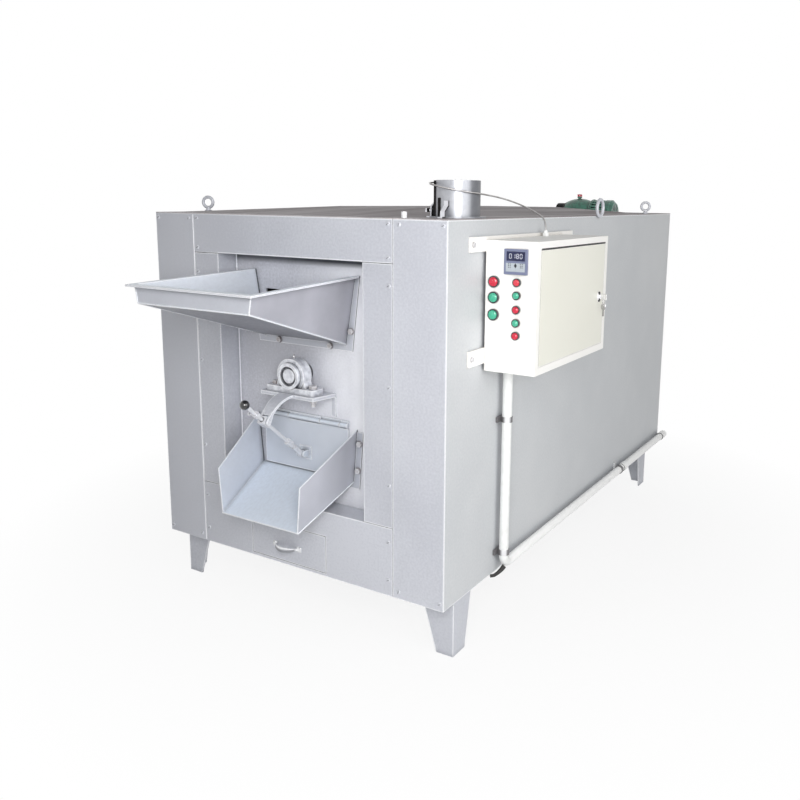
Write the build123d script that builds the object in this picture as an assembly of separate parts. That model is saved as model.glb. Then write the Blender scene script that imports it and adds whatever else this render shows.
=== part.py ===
from build123d import *
import os
from math import acos, atan2, cos, degrees, hypot, pi, radians, sin, tan

# Peanut roasting oven: a slow steel drum in an insulated sheet-steel casing on four legs.
# Raw nuts go in at the hopper, the drum turns over electric heaters, and a door above
# the chute lets the roasted nuts out. Millimetres, +Z up, the front faces -Y, the origin
# is on the floor below the middle of the casing.

# Casing and frame
casing_width = 1200.0
casing_depth = 2200.0
casing_height = 1185.0
leg_height = 190.0
sheet = 3.0
panel_gap = 2.0
frame_tube = 50.0
frame_wall = 4.0
leg_plate = 6.0
leg_top = (118.0, 110.0)
leg_foot = (62.0, 74.0)

# Recess in the front, where the nuts go in and out
recess_width = 606.0
recess_depth = 85.0
recess_bottom = 417.0
recess_top = 1243.0
corner_panel_width = 185.0
plate_thickness = 8.0
feed_opening = (340.0, 151.0)
feed_opening_bottom = 975.0
discharge_opening = (340.0, 143.0)
discharge_opening_bottom = 522.0

# Drum and its bearings
drum_axis = 854.0
drum_radius = 400.0
drum_wall = 4.0
drum_front_gap = 12.0
drum_rear = 985.0
flight_height = 56.0
flight_count = 4
flight_turn = 180.0
shaft_radius = 25.0
bearing_height = 57.2
bearing_from_plate = 57.0
bearing_bolt_reach = 79.5
insert_radius = 45.0
shelf_thickness = 12.0
running_fit = 0.05

# Discharge door, pull rod and the arm that guides the rod
door_size = (364.0, 176.0)
door_thickness = 5.5
hinge_height = 695.0
hinge_radius = 8.0
lug_point = (-1043.0, 576.0)
swivel_point = (-1217.0, 727.0)
rod_radius = 6.0
rod_length = 338.0
knob_radius = 15.5
arm_thickness = 8.0
arm_width = (60.0, 40.0)

# Hopper, chute and drawer
hopper_rim = (1190.0, 1175.0)
hopper_floor = (969.0, 1122.0)
hopper_half = (211.0, 228.0)
hopper_lean = 0.175
hopper_reach = 477.0
chute_rim = (687.0, 552.0)
chute_floor = (510.0, 402.0)
chute_half = (214.0, 172.0)
chute_lean = 0.085
chute_reach = 241.0
drawer_middle = -19.0
drawer_above_base = 12.0
drawer_width = 326.0
drawer_way = 338.0
drawer_height = 127.0
drawer_depth = 600.0
handle_middle = (-24.0, 257.0)

# Chimney
chimney_x = 507.0
chimney_y = -883.0
chimney_radius = 68.5
chimney_rise = 113.0

# Control box on the right side
box_depth = 173.0
box_length = 584.0
box_height = 403.0
box_front = -883.0
box_bottom = 908.0
box_sheet = 2.0
strap_thickness = 8.0
large_buttons = {"stop": 1187.0, "forward": 1139.0, "reverse": 1086.0}
small_buttons = {"one_on": 1149.0, "one_off": 1106.0, "two_on": 1066.0, "two_off": 1027.0}
lamp_height = 1188.0
unit_x = (677.0, 745.0)
unit_z = (1216.0, 1284.0)
large_button_x = 638.0
small_button_x = 715.0

# Conduit down the side and thermocouple lead to the chimney
conduit_radius = 16.0
conduit_x = 626.0
conduit_y = -750.0
conduit_run_height = 216.0
lead_radius = 2.5
clip_heights = (724.0, 262.0)
clip_along = 420.0
lead_points = [
    (624, -485, 1330), (624, -485, 1366), (612, -530, 1388), (600, -615, 1413), (592, -745, 1436),
    (588, -880, 1448), (560, -950, 1455), (490, -978, 1468), (436.5, -958, 1481), (436.5, -895.5, 1481)]

# Drive behind the rear panel
chain_pitch = 38.1
drive_teeth = 9
drum_teeth = 27
chain_links = 42
roller_radius = 11.1
chain_plane = 1265.0
reducer_y = 1390.0

# Places worked out from the sizes above
right = casing_width / 2
front = -casing_depth / 2
back = casing_depth / 2
base = leg_height
drawer_bottom = base + drawer_above_base
top = base + casing_height
split = right - corner_panel_width
recess_half = recess_width / 2
plate_front = front + recess_depth
plate_back = plate_front + plate_thickness
inner_right = right - sheet - frame_tube
drum_front = plate_back + drum_front_gap
drum_inside = drum_radius - drum_wall
bearing_y = plate_front - bearing_from_plate
rear_bearing_y = back + 65.0
shelf_top = drum_axis - bearing_height
shelf_edge = bearing_y - 40.0
box_back = right + strap_thickness
box_face = box_back + box_depth
box_rear = box_front + box_length
box_top = box_bottom + box_height
hinge_y = plate_front - hinge_radius - 1.0
drive_radius = chain_pitch / (2 * sin(pi / drive_teeth))
drum_sprocket_radius = chain_pitch / (2 * sin(pi / drum_teeth))


def block(x, y, z):
    """A box between two bounds on each axis."""
    middle = Pos((x[0] + x[1]) / 2, (y[0] + y[1]) / 2, (z[0] + z[1]) / 2)
    return middle * Box(x[1] - x[0], y[1] - y[0], z[1] - z[0])


def round_x(radius, y, z, x):
    """A round bar along X."""
    return Pos((x[0] + x[1]) / 2, y, z) * Rot(0, 90, 0) * Cylinder(radius, x[1] - x[0])


def round_y(radius, x, z, y):
    """A round bar along Y."""
    return Pos(x, (y[0] + y[1]) / 2, z) * Rot(90, 0, 0) * Cylinder(radius, y[1] - y[0])


def round_z(radius, x, y, z):
    """A round bar along Z."""
    return Pos(x, y, (z[0] + z[1]) / 2) * Cylinder(radius, z[1] - z[0])


def sheet_x(points, x):
    """An outline in Y and Z, thick along X."""
    plane = Plane(origin=(x[0], 0, 0), x_dir=(0, 1, 0), z_dir=(1, 0, 0))
    return extrude(plane * make_face(Polyline(*points, close=True)), x[1] - x[0])


def sheet_y(points, y):
    """An outline in X and Z, thick along Y."""
    plane = Plane(origin=(0, y[1], 0), x_dir=(1, 0, 0), z_dir=(0, -1, 0))
    return extrude(plane * make_face(Polyline(*points, close=True)), y[1] - y[0])


def sheet_z(points, z):
    """An outline in X and Y, thick along Z."""
    return extrude(Plane.XY.offset(z[0]) * make_face(Polyline(*points, close=True)), z[1] - z[0])


def folded(points, thickness):
    """The outline of a bent strip: a line and the same line moved to its left by the thickness."""
    normals = []
    for (ax, ay), (bx, by) in zip(points, points[1:]):
        length = hypot(bx - ax, by - ay)
        normals.append((-(by - ay) / length, (bx - ax) / length))
    moved = []
    for index, (x, y) in enumerate(points):
        before = normals[max(index - 1, 0)]
        after = normals[min(index, len(normals) - 1)]
        share = thickness / (1 + before[0] * after[0] + before[1] * after[1])
        moved.append((x + share * (before[0] + after[0]), y + share * (before[1] + after[1])))
    return points + moved[::-1]


def flat_sided(near, far):
    """A solid with flat sides between two outlines that have the same corners in turn."""
    faces = [Face(Wire.make_polygon(near)), Face(Wire.make_polygon(far))]
    for index in range(len(near)):
        after = (index + 1) % len(near)
        faces.append(Face(Wire.make_polygon([near[index], near[after], far[after], far[index]])))
    return Solid(Shell(faces))


def group(*pieces):
    """Separate solids that share one node."""
    return Compound(children=list(pieces))


def both_sides(piece):
    """A piece and its mirror image on the other side of the machine."""
    return group(piece, mirror(piece, about=Plane.YZ))


def square_tube(x, y, z, along):
    """A square steel tube along one axis."""
    spans = [list(x), list(y), list(z)]
    hollow = []
    for axis, span in enumerate(spans):
        grow = 1.0 if axis == along else -frame_wall
        hollow.append((span[0] - grow, span[1] + grow))
    return block(x, y, z) - block(*hollow)


def ring_z(radius, section):
    """A ring of eight-sided bar about Z."""
    return revolve(Plane.XZ * Pos(radius, 0) * RegularPolygon(section, 8), Axis.Z)


def hexagon_z(across, x, y, z):
    """A hexagon bolt head or nut standing on Z."""
    return Pos(x, y, z[0]) * extrude(RegularPolygon(across / 2, 6, major_radius=False), z[1] - z[0])


def hexagon_y(across, x, z, y):
    """A hexagon bolt head lying on a face that looks along Y."""
    plane = Plane(origin=(x, y[1], z), x_dir=(1, 0, 0), z_dir=(0, -1, 0))
    return extrude(plane * RegularPolygon(across / 2, 6, major_radius=False), y[1] - y[0])


# Frame of square tube and the four folded legs
def welded_frame():
    near, far = right - sheet - frame_tube, right - sheet
    low = (base + sheet, base + sheet + frame_tube)
    high = (top - sheet - frame_tube, top - sheet)
    ends = ((front + sheet, front + sheet + frame_tube), (back - sheet - frame_tube, back - sheet))
    bars = []
    for x in ((near, far), (-far, -near)):
        for y in ends:
            bars.append(square_tube(x, y, (low[0], high[1]), 2))
        for z in (low, high):
            bars.append(square_tube(x, (ends[0][1], ends[1][0]), z, 1))
    over_drawer = (340.0, 340.0 + frame_tube)
    for y, z in ((ends[1], low), (ends[1], high), (ends[0], high), (ends[0], over_drawer)):
        bars.append(square_tube((-near, near), y, z, 0))
    beside_recess = recess_half + 7.0
    for x in ((beside_recess, beside_recess + frame_tube), (-beside_recess - frame_tube, -beside_recess)):
        bars.append(square_tube(x, (front + sheet, plate_front), (over_drawer[1], high[0]), 2))
    return group(*bars)


def legs():
    outer = right - 7.0
    pad = leg_height - leg_plate
    lap = 8.0
    made = []
    for corner, inward in ((front + 75.0, 1), (back - 180.0, -1)):
        foot, head = corner + inward * leg_foot[1], corner + inward * leg_top[1]
        across = [(outer, 0), (outer - leg_foot[0], 0), (outer - leg_top[0], pad), (outer, pad)]
        along = [(corner, 0), (foot, 0), (head, pad), (corner, pad)]
        leg = sheet_y(across, sorted((corner, corner + inward * leg_plate)))
        leg += sheet_x(along, (outer - leg_plate, outer))
        pad_y = sorted((corner, head + inward * lap))
        leg += block((outer - leg_top[0] - lap, outer), pad_y, (pad, leg_height))
        made += [leg, mirror(leg, about=Plane.YZ)]
    return group(*made)


# Casing panels
def side_panels():
    return both_sides(block((right - sheet, right), (front + sheet, back - sheet), (base, top - sheet)))


def rear_panel():
    panel = block((-right, right), (back - sheet, back), (base, top - sheet))
    return panel - round_y(shaft_radius + 10, 0, drum_axis, (back - 10, back + 10))


def bottom_panel():
    panel = block((-right + sheet, right - sheet), (front + sheet, back - sheet), (base, base + sheet))
    guide = (front + 100, front + 620)
    inside = drawer_width / 2 + 3
    floor = base + sheet
    angle_foot, angle_height, runner_height = 24, 40, 9
    runner_x = (inside - 30, inside - 10)
    for sign in (1, -1):
        line = [(inside + angle_foot, floor), (inside, floor), (inside, floor + angle_height)]
        angle = folded([(sign * x, z) for x, z in line], -sign * sheet)
        runner = block(sorted(sign * x for x in runner_x), guide, (floor, floor + runner_height))
        panel += Pos(drawer_middle, 0, 0) * (sheet_y(angle, guide) + runner)
    return panel


def top_panel():
    crown_height = top + 25.0
    flat = block((-right, right), (front, back), (top - sheet, top))
    foot = ((-560, -1060), (390, -1060), (390, 1060), (-560, 1060))
    crest = ((-250, -500), (150, -500), (150, 700), (-250, 700))
    crown = flat_sided([(x, y, top) for x, y in foot], [(x, y, crown_height) for x, y in crest])
    hole = round_z(chimney_radius + 0.5, chimney_x, chimney_y, (top - 20, top + 20))
    return flat + crown - Pos(0, 0, -sheet) * crown - hole


def front_corner_panels():
    return both_sides(block((split, right), (front, front + sheet), (base, top - sheet)))


def recess_jambs():
    line = [(split - panel_gap, front), (recess_half, front), (recess_half, plate_front)]
    return both_sides(sheet_z(folded(line, -sheet), (recess_bottom + panel_gap, recess_top - panel_gap)))


def header_panel():
    face = block((panel_gap - split, split - panel_gap), (front, front + sheet), (recess_top, top - sheet))
    across = (0.5 - recess_half, recess_half - 0.5)
    soffit = block(across, (front, plate_front), (recess_top, recess_top + sheet))
    return face + soffit


def lower_panel():
    face = block((panel_gap - split, split - panel_gap), (front, front + sheet), (base, recess_bottom))
    across = (0.5 - recess_half, recess_half - 0.5)
    ledge = block(across, (front, plate_front), (recess_bottom - sheet, recess_bottom))
    half = drawer_width / 2 + panel_gap
    hole = block((drawer_middle - half, drawer_middle + half), (front - 5, front + 5),
                 (drawer_bottom - panel_gap, drawer_bottom + drawer_height + panel_gap))
    return face + ledge - hole


def front_plate():
    """Strips of plate welded edge to edge round the openings, with the drum's seal ring behind them."""
    wide, high = inner_right - 0.5, top - sheet - 0.5
    thick = (plate_front, plate_back)
    drawer_half = drawer_width / 2 + 7
    discharge_top = discharge_opening_bottom + discharge_opening[1]
    feed_top = feed_opening_bottom + feed_opening[1]
    strips = [block((-wide, wide), thick, (drawer_way, discharge_opening_bottom)),
              block((-wide, wide), thick, (feed_top, high))]
    middle = block((-wide, wide), thick, (discharge_top, feed_opening_bottom))
    strips.append(middle - round_y(shaft_radius + 7, 0, drum_axis, (plate_front - 5, plate_back + 5)))
    gaps = ((base + sheet, drawer_way, drawer_middle, drawer_half),
            (discharge_opening_bottom, discharge_top, 0, discharge_opening[0] / 2),
            (feed_opening_bottom, feed_top, 0, feed_opening[0] / 2))
    for low, upper, centre, half in gaps:
        strips.append(block((-wide, centre - half), thick, (low, upper)))
        strips.append(block((centre + half, wide), thick, (low, upper)))
    seal = (plate_back, plate_back + 32)
    ring = round_y(drum_radius + 8, 0, drum_axis, seal) - round_y(drum_radius + 4.5, 0, drum_axis, seal)
    return group(*strips, ring)


# Hot chamber: lining, insulation and heaters
def inner_lining():
    inside = inner_right - sheet
    high = top - sheet - frame_tube
    rear = back - sheet - frame_tube
    y = (plate_back + 0.5, rear)
    z = (base + 6, high)
    lining = block((-inner_right, inner_right), y, (high - sheet, high))
    lining += block((-inner_right, inner_right), (rear - sheet, rear), z)
    for x in ((inside, inner_right), (-inner_right, -inside)):
        lining += block(x, y, z)
    flue = round_z(50, chimney_x - 18, chimney_y, (high - 20, high + 20))
    return lining - flue - round_y(shaft_radius + 15, 0, drum_axis, (rear - 20, rear + 20))


def insulation():
    low = base + sheet + frame_tube + 0.5
    high = top - sheet - frame_tube
    rear = back - sheet - frame_tube
    across = (0.5 - inner_right, inner_right - 0.5)
    side = block((inner_right + 0.5, right - sheet - 0.5), (front + 54, rear - 1), (low, high - 0.5))
    lid = block(across, (plate_back + 1, rear - 1), (high + 0.5, top - sheet - 0.5))
    lid -= round_z(51, chimney_x - 18, chimney_y, (high - 5, top))
    end = block(across, (rear + 0.5, back - sheet - 0.5), (low, high - 0.5))
    end -= round_y(shaft_radius + 17, 0, drum_axis, (rear, back))
    return group(side, mirror(side, about=Plane.YZ), lid, end)


def heater_tubes():
    tube, height, reach, half, corner = 8.0, 400.0, -700.0, 30.0, 14.0
    rear = back - sheet - frame_tube - sheet
    bend = [(-half, rear - 4), (-half, reach + corner), (corner - half, reach), (half - corner, reach),
            (half, reach + corner), (half, rear - 4)]
    path = Polyline(*[(x, y, height) for x, y in bend])
    section = Plane(origin=path @ 0, z_dir=path % 0) * RegularPolygon(tube, 8)
    hairpin = sweep(section, path, transition=Transition.RIGHT)
    hairpin += block((-half - 20, half + 20), (rear - 8, rear), (height - 25, height + 25))
    return group(*[Pos(middle, 0, 0) * hairpin for middle in range(-350, 351, 140)])


# Drum
def drum_shell():
    length = (drum_front, drum_rear)
    return round_y(drum_radius, 0, drum_axis, length) - round_y(drum_inside, 0, drum_axis, length)


def drum_flights():
    start, end = drum_front + 95, drum_rear - 35
    steps = 4
    flights = []
    for number in range(flight_count):
        sections = []
        for step in range(steps + 1):
            angle = radians(number * 360 / flight_count + flight_turn * step / steps)
            y = start + (end - start) * step / steps
            plane = Plane(origin=(0, y, drum_axis), x_dir=(cos(angle), 0, sin(angle)), z_dir=(0, 1, 0))
            middle = drum_inside - flight_height / 2 + 2
            sections.append(plane * Pos(middle, 0) * Rectangle(flight_height + 4, 4))
        flights.append(loft(sections) & round_y(drum_inside, 0, drum_axis, (start, end)))
    return group(*flights)


def front_spider():
    face = drum_front + 55
    bar = (face, face + 12)
    across = block((-drum_radius, drum_radius), bar, (drum_axis - 30, drum_axis + 30))
    upright = block((-30, 30), bar, (drum_axis - drum_radius, drum_axis + drum_radius))
    arms = (across + upright) & round_y(drum_inside, 0, drum_axis, bar)
    hub = round_y(55, 0, drum_axis, (face, face + 48))
    return arms + hub - round_y(shaft_radius, 0, drum_axis, (front, 0))


def rear_disc():
    disc = round_y(drum_inside, 0, drum_axis, (drum_rear - 30, drum_rear - 24))
    hub = round_y(70, 0, drum_axis, (drum_rear - 24, drum_rear + 15))
    return disc + hub - round_y(shaft_radius, 0, drum_axis, (0, back))


def stub_shafts():
    ends = ((bearing_y - 29, drum_front + 105), (drum_rear - 40, chain_plane + 30))
    shafts = [round_y(shaft_radius, 0, drum_axis, span) for span in ends]
    return group(*[chamfer(shaft.edges().filter_by(GeomType.CIRCLE), 2) for shaft in shafts])


# Pillow block bearings and the shelves they stand on
def bearing_housing(y):
    foot_top = shelf_top + 20
    shoulder = drum_axis + 14
    crown_radius = 57
    foot = block((-103, 103), (y - 30, y + 30), (shelf_top, foot_top))
    foot = fillet(foot.edges().filter_by(Axis.Z), 14)
    outline = [(-63, foot_top - 2), (63, foot_top - 2), (46, shoulder), (-46, shoulder)]
    neck = sheet_y(outline, (y - 18, y + 18)) + round_y(crown_radius, 0, drum_axis, (y - 20, y + 20))
    body = foot + neck - round_y(insert_radius, 0, drum_axis, (y - 50, y + 50))
    body -= block((-200, 200), (y - 50, y + 50), (0, shelf_top))
    for x in (-bearing_bolt_reach, bearing_bolt_reach):
        body -= round_z(9, x, y, (shelf_top - 5, shelf_top + 40))
    return body


def bearing_housings():
    return group(bearing_housing(bearing_y), bearing_housing(rear_bearing_y))


def bearing_inserts():
    inserts = []
    for y, outward in ((bearing_y, -1), (rear_bearing_y, 1)):
        nose, rim = y + outward * 33, y + outward * 18
        insert = round_y(insert_radius - running_fit, 0, drum_axis, (y - 19, y + 19))
        insert += round_y(insert_radius - 1, 0, drum_axis, sorted((rim, nose)))
        insert -= round_y(shaft_radius + 8, 0, drum_axis, sorted((y + outward * 20, nose + outward)))
        inserts.append(insert - round_y(shaft_radius, 0, drum_axis, (y - 50, y + 50)))
    return group(*inserts)


def bearing_shelves():
    low = shelf_top - shelf_thickness
    strap_thick, strap_bottom = 6, shelf_top - 78
    root, tip = 130, 112
    shelves = []
    for wall, edge, y in ((plate_front, shelf_edge, bearing_y), (back, rear_bearing_y + 60, rear_bearing_y)):
        outward = 1 if edge > wall else -1
        shelf = sheet_z([(-root, wall), (root, wall), (tip, edge), (-tip, edge)], (low, shelf_top))
        for x in ((tip, root), (-root, -tip)):
            shelf += block(x, sorted((wall, wall + outward * strap_thick)), (strap_bottom, low + 1))
        for x in (-bearing_bolt_reach, bearing_bolt_reach):
            shelf -= round_z(8.5, x, y, (low - 5, shelf_top + 5))
        shelves.append(shelf)
    return group(*shelves)


# Discharge door, its hinge, the pull rod and the arm with its swivel
rod_direction = Vector(0, swivel_point[0] - lug_point[0], swivel_point[1] - lug_point[1]).normalized()


def along_rod(distance):
    """The plane square to the pull rod at a distance from the lug pin."""
    origin = Vector(0, *lug_point) + rod_direction * distance
    return Plane(origin=origin, x_dir=(1, 0, 0), z_dir=rod_direction)


def door_hinge():
    leaf = block((-182, 182), (plate_front - sheet, plate_front), (hinge_height + 8.5, hinge_height + 16))
    pin = round_x(4, hinge_y, hinge_height, (-183, 183))
    for x in ((-182, -152), (-68, 68), (152, 182)):
        leaf += round_x(hinge_radius, hinge_y, hinge_height, x)
        leaf += block(x, (plate_front - 6, plate_front), (hinge_height, hinge_height + 15))
    return leaf + pin


def discharge_door():
    half = door_size[0] / 2
    face = plate_front - 0.5 - door_thickness
    upper = hinge_height - 5
    door = block((-half, half), (face, face + door_thickness), (upper - door_size[1], upper))
    for x in ((-half - 1, -150), (-70, 70), (150, half + 1)):
        door -= block(x, (face - 1, plate_front), (hinge_height - 11, upper + 1))
    for x in ((-150, -70), (70, 150)):
        door += round_x(hinge_radius, hinge_y, hinge_height, x)
    door -= round_x(4 + running_fit, hinge_y, hinge_height, (-half, half))
    lug_y, lug_z = lug_point
    door += block((-26, 26), (face - 3, face + 1), (lug_z - 22, lug_z + 22))
    for x in ((9.5, 15.5), (-15.5, -9.5)):
        door += block(x, (lug_y, face), (lug_z - 11, lug_z + 11)) + round_x(11, lug_y, lug_z, x)
    return door + round_x(5, lug_y, lug_z, (-15.5, 15.5))


def pull_rod():
    rod = along_rod(0) * Pos(0, 0, rod_length / 2 + 5) * Cylinder(rod_radius, rod_length - 10)
    rod += round_x(12, *lug_point, (-8, 8))
    rod += along_rod(30) * Cylinder(9, 44)
    rod += along_rod(68) * extrude(RegularPolygon(12, 6), 26)
    rod += along_rod(276) * Cylinder(11, 15)
    rod += along_rod(276) * Pos(-19, 0, 0) * Rot(0, 90, 0) * Cylinder(3.5, 20)
    rod += along_rod(276) * Pos(-30, 0, 0) * Rot(0, 90, 0) * Cylinder(7, 5)
    return rod - round_x(5 + 2 * running_fit, *lug_point, (-10, 10))


def ball_knob():
    ball = along_rod(rod_length + 3) * Sphere(knob_radius)
    socket = along_rod(0) * Pos(0, 0, rod_length / 2) * Cylinder(rod_radius, rod_length)
    return ball - socket


def swivel_block():
    middle = hypot(swivel_point[0] - lug_point[0], swivel_point[1] - lug_point[1])
    body = along_rod(middle) * Box(26, 26, 30)
    body -= along_rod(middle) * Cylinder(rod_radius + 2.4, 60)
    for x in ((12.5, 21), (-21, -12.5)):
        body += round_x(5, *swivel_point, x)
    return body


def latch_arm():
    ear_radius, ear_thick = 10, 6
    pivot = Vector(0, *swivel_point)
    tip = pivot + Vector(0, 12, 18)
    bow = TangentArc((0, shelf_edge, shelf_top - arm_thickness / 2), tip, tangent=(0, -1, 0))
    root = Plane(origin=bow @ 0, x_dir=(1, 0, 0), z_dir=bow % 0)
    wide, narrow = arm_width[0] / 2, arm_width[1] / 2
    taper = [(-wide, shelf_edge), (wide, shelf_edge), (narrow, tip.Y)]
    plan = taper + [(narrow, tip.Y - 20), (-narrow, tip.Y - 20), (-narrow, tip.Y)]
    arm = sweep(root * Rectangle(arm_width[0], arm_thickness), bow) & sheet_z(plan, (0, top))
    way = (pivot - tip).normalized()
    side = Vector(0, -way.Z, way.Y) * ear_radius
    start = tip - way * 14
    ear = [(p.Y, p.Z) for p in (start + side * 0.4, pivot + side, pivot - side, start - side * 0.4)]
    for x in ((narrow - ear_thick, narrow), (-narrow, ear_thick - narrow)):
        arm += sheet_x(ear, x) + round_x(ear_radius, *swivel_point, x)
    return arm - round_x(5 + running_fit, *swivel_point, (-25, 25))


# Hopper, chute and drawer
def trough(half, rim, floor, lean, reach, front_wall):
    """A folded tray that reaches out from the front plate: the half width and the height of its rim
    and the height of its floor, each at the plate and at the far end. The sides lean outwards."""
    def outline(share, grow, over):
        """The four corners of a cross section, a share of the reach out from the plate."""
        side, crest, low = (a + (b - a) * share for a, b in (half, rim, floor))
        side += grow * hypot(1, lean)
        low -= grow
        line = [(-side - lean * over, crest + over), (lean * (crest - low) - side, low),
                (side - lean * (crest - low), low), (side + lean * over, crest + over)]
        return [(x, plate_front - share * reach, z) for x, z in line]

    outer = flat_sided(outline(0, sheet, 0), outline(1 + front_wall / reach, sheet, 0))
    end = 1 if front_wall else 1 + sheet / reach
    inner = flat_sided(outline(-0.01, 0, 20), outline(end, 0, 20))
    return outer - inner


def hopper():
    end = plate_front - hopper_reach
    lip, brim = 6.0, 23.0
    slope = (hopper_rim[0] - hopper_rim[1]) / hopper_reach

    def level(points, below):
        """Points on the sloping plane of the rim, or that far below it."""
        return [(x, y, hopper_rim[1] + slope * (y - end) - below) for x, y in points]

    tray = trough(hopper_half, hopper_rim, hopper_floor, hopper_lean, hopper_reach, sheet)
    near, far = hopper_half[0] + sheet / 2, hopper_half[1] + sheet / 2
    nose = end - sheet / 2
    outside = [(-231, plate_front), (-250, end - brim), (250, end - brim), (231, plate_front)]
    inside = [(-near, plate_front + 1), (-far, nose), (far, nose), (near, plate_front + 1)]
    flange = flat_sided(level(outside, lip), level(outside, 0))
    tray += flange - flat_sided(level(inside, lip + 5), level(inside, -5))
    tongue = (plate_front - sheet, plate_front)
    low, high = hopper_floor[0] - 25, hopper_rim[0] - lip + 2
    root = near - hopper_lean * (hopper_rim[0] - low)
    head = near - hopper_lean * (hopper_rim[0] - high)
    ear = ((root, low), (200, low), (230, high), (head, high))
    for sign in (1, -1):
        tray += sheet_y([(sign * x, z) for x, z in ear], tongue)
    return tray + block((-root - 2, root + 2), tongue, (low, hopper_floor[0] - sheet / 2))


def chute():
    tray = trough(chute_half, chute_rim, chute_floor, chute_lean, chute_reach, 0)
    tongue = (plate_front - sheet, plate_front)
    low, high = chute_floor[0] - 26, chute_rim[0] - 7
    near = chute_half[0] + sheet / 2
    root = near - chute_lean * (chute_rim[0] - low)
    head = near - chute_lean * (chute_rim[0] - high)
    ear = ((root, low), (224, low), (240, high), (head, high))
    for sign in (1, -1):
        tray += sheet_y([(sign * x, z) for x, z in ear], tongue)
    return tray + block((-root - 2, root + 2), tongue, (low, chute_floor[0] - sheet / 2))


def drawer():
    half, inset, wall, tray_height = drawer_width / 2, 5.0, 2.0, 98.0
    floor = drawer_bottom + 0.3
    tray_half = half - inset
    face = block((-half, half), (front, front + sheet), (drawer_bottom, drawer_bottom + drawer_height))
    length = (front + sheet - 0.5, front + drawer_depth)
    tray = block((-tray_half, tray_half), length, (floor, floor + tray_height))
    hollow_half = tray_half - wall
    tray -= block((-hollow_half, hollow_half), (front + sheet, length[1] - wall), (floor + wall, floor + 120))
    return Pos(drawer_middle, 0, 0) * (face + tray)


def drawer_handle():
    half, reach, strap, tall, plate = 53.0, 32.0, 4.0, 18.0, 9.0
    foot, tip = half - 6, half + 6
    outer = ThreePointArc((-half, 0), (0, -reach), (half, 0))
    inner = ThreePointArc((foot, 0), (0, strap - reach), (-foot, 0))
    bow = make_face([outer, Line(outer @ 1, inner @ 0), inner, Line(inner @ 1, outer @ 0)])
    upper = ThreePointArc((-tip, 0), (0, tall / 2), (tip, 0))
    lower = ThreePointArc((tip, 0), (0, -tall / 2), (-tip, 0))
    leaf = extrude(Plane.XZ * make_face([upper, lower]), 60, both=True)
    grip = extrude(bow, tall, both=True) & leaf
    for x in (-half, half):
        grip += block((x - plate, x + plate), (-2, 0), (-plate, plate))
    return Pos(handle_middle[0], front, handle_middle[1]) * grip


# Chimney, its straps and the lifting eyes
def chimney():
    z = (top - sheet + 0.3, top + chimney_rise)
    pipe = round_z(chimney_radius, chimney_x, chimney_y, z)
    collar = round_z(chimney_radius + 19, chimney_x, chimney_y, (top, top + 4))
    return pipe + collar - round_z(chimney_radius - 2.5, chimney_x, chimney_y, (z[0] - 5, z[1] + 5))


def chimney_strap(width, bend, upper):
    thick = 4.0
    touch = chimney_x - chimney_radius - thick
    joggle, foot = touch - 20, touch - 34
    line = [(foot, top + thick), (joggle, top + thick), (joggle, top + bend), (touch, top + bend + 18)]
    line.append((touch, top + upper))
    return sheet_y(folded(line, -thick), (chimney_y - width / 2, chimney_y + width / 2))


def chimney_straps():
    tall = chimney_strap(25, 36, 109)
    foot = chimney_x - chimney_radius - 24
    tall += round_x(4, chimney_y, top + 22, (foot - 22, foot + 2))
    tall += block((foot - 16, foot - 10), (chimney_y - 17, chimney_y + 17), (top + 16, top + 28))
    pipe_axis = Axis((chimney_x, chimney_y, 0), (0, 0, 1))
    return group(tall, chimney_strap(16, 20, 52).rotate(pipe_axis, 90))


def lifting_eye(x, y, turn):
    ring = Pos(x, y, top + 34) * Rot(0, 0, turn) * Rot(90, 0, 0) * ring_z(19, 6)
    return ring + round_z(8, x, y, (top, top + 16)) + round_z(13, x, y, (top, top + 6))


def lifting_eyes():
    edge = right - 25
    side_ring = Pos(right + 7, 75, top + 29) * Rot(0, 90, 0) * ring_z(33, 6.8)
    places = ((-edge, front + 220, 20), (-edge, 765, 20), (edge, 765, 15))
    return group(*[lifting_eye(x, y, turn) for x, y, turn in places], side_ring)


# Control box
hinge_line = (box_face - 4.5, box_front + 30.5)
door_y = (box_front + 26, box_rear - 26)
door_z = (box_bottom + 26, box_top - 26)
lock_point = (box_rear - 69, 1102.0)


def box_straps():
    y = (box_front - 95, box_rear + 95)
    return group(*[block((right, box_back), y, z) for z in ((1277, 1322), (931, 980))])


def box_shell():
    s = box_sheet
    shell = block((box_back, box_face), (box_front, box_rear), (box_bottom, box_top))
    shell -= block((box_back + s, box_face - s), (box_front + s, box_rear - s), (box_bottom + s, box_top - s))
    way_y, way_z = (box_front + 22, box_rear - 23.5), (box_bottom + 23.5, box_top - 23.5)
    lip_depth, pin_reach = 16, 4.5
    lip = block((box_face - lip_depth, box_face), (way_y[0] - s, way_y[1] + s), (way_z[0] - s, way_z[1] + s))
    shell = shell + lip - block((box_face - 40, box_face + 5), way_y, way_z)
    for z in ((door_z[0] - pin_reach, door_z[0] + 4), (door_z[1] - 4, door_z[1] + pin_reach)):
        shell += round_z(2, *hinge_line, z)
    through = (box_front - 5, box_front + 5)
    cutout = [(low - 0.2, high + 0.2) for low, high in (unit_x, unit_z)]
    shell -= block(cutout[0], through, cutout[1])
    for x, z in button_places():
        shell -= round_y(11.05, x, z, through)
    return shell


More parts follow.
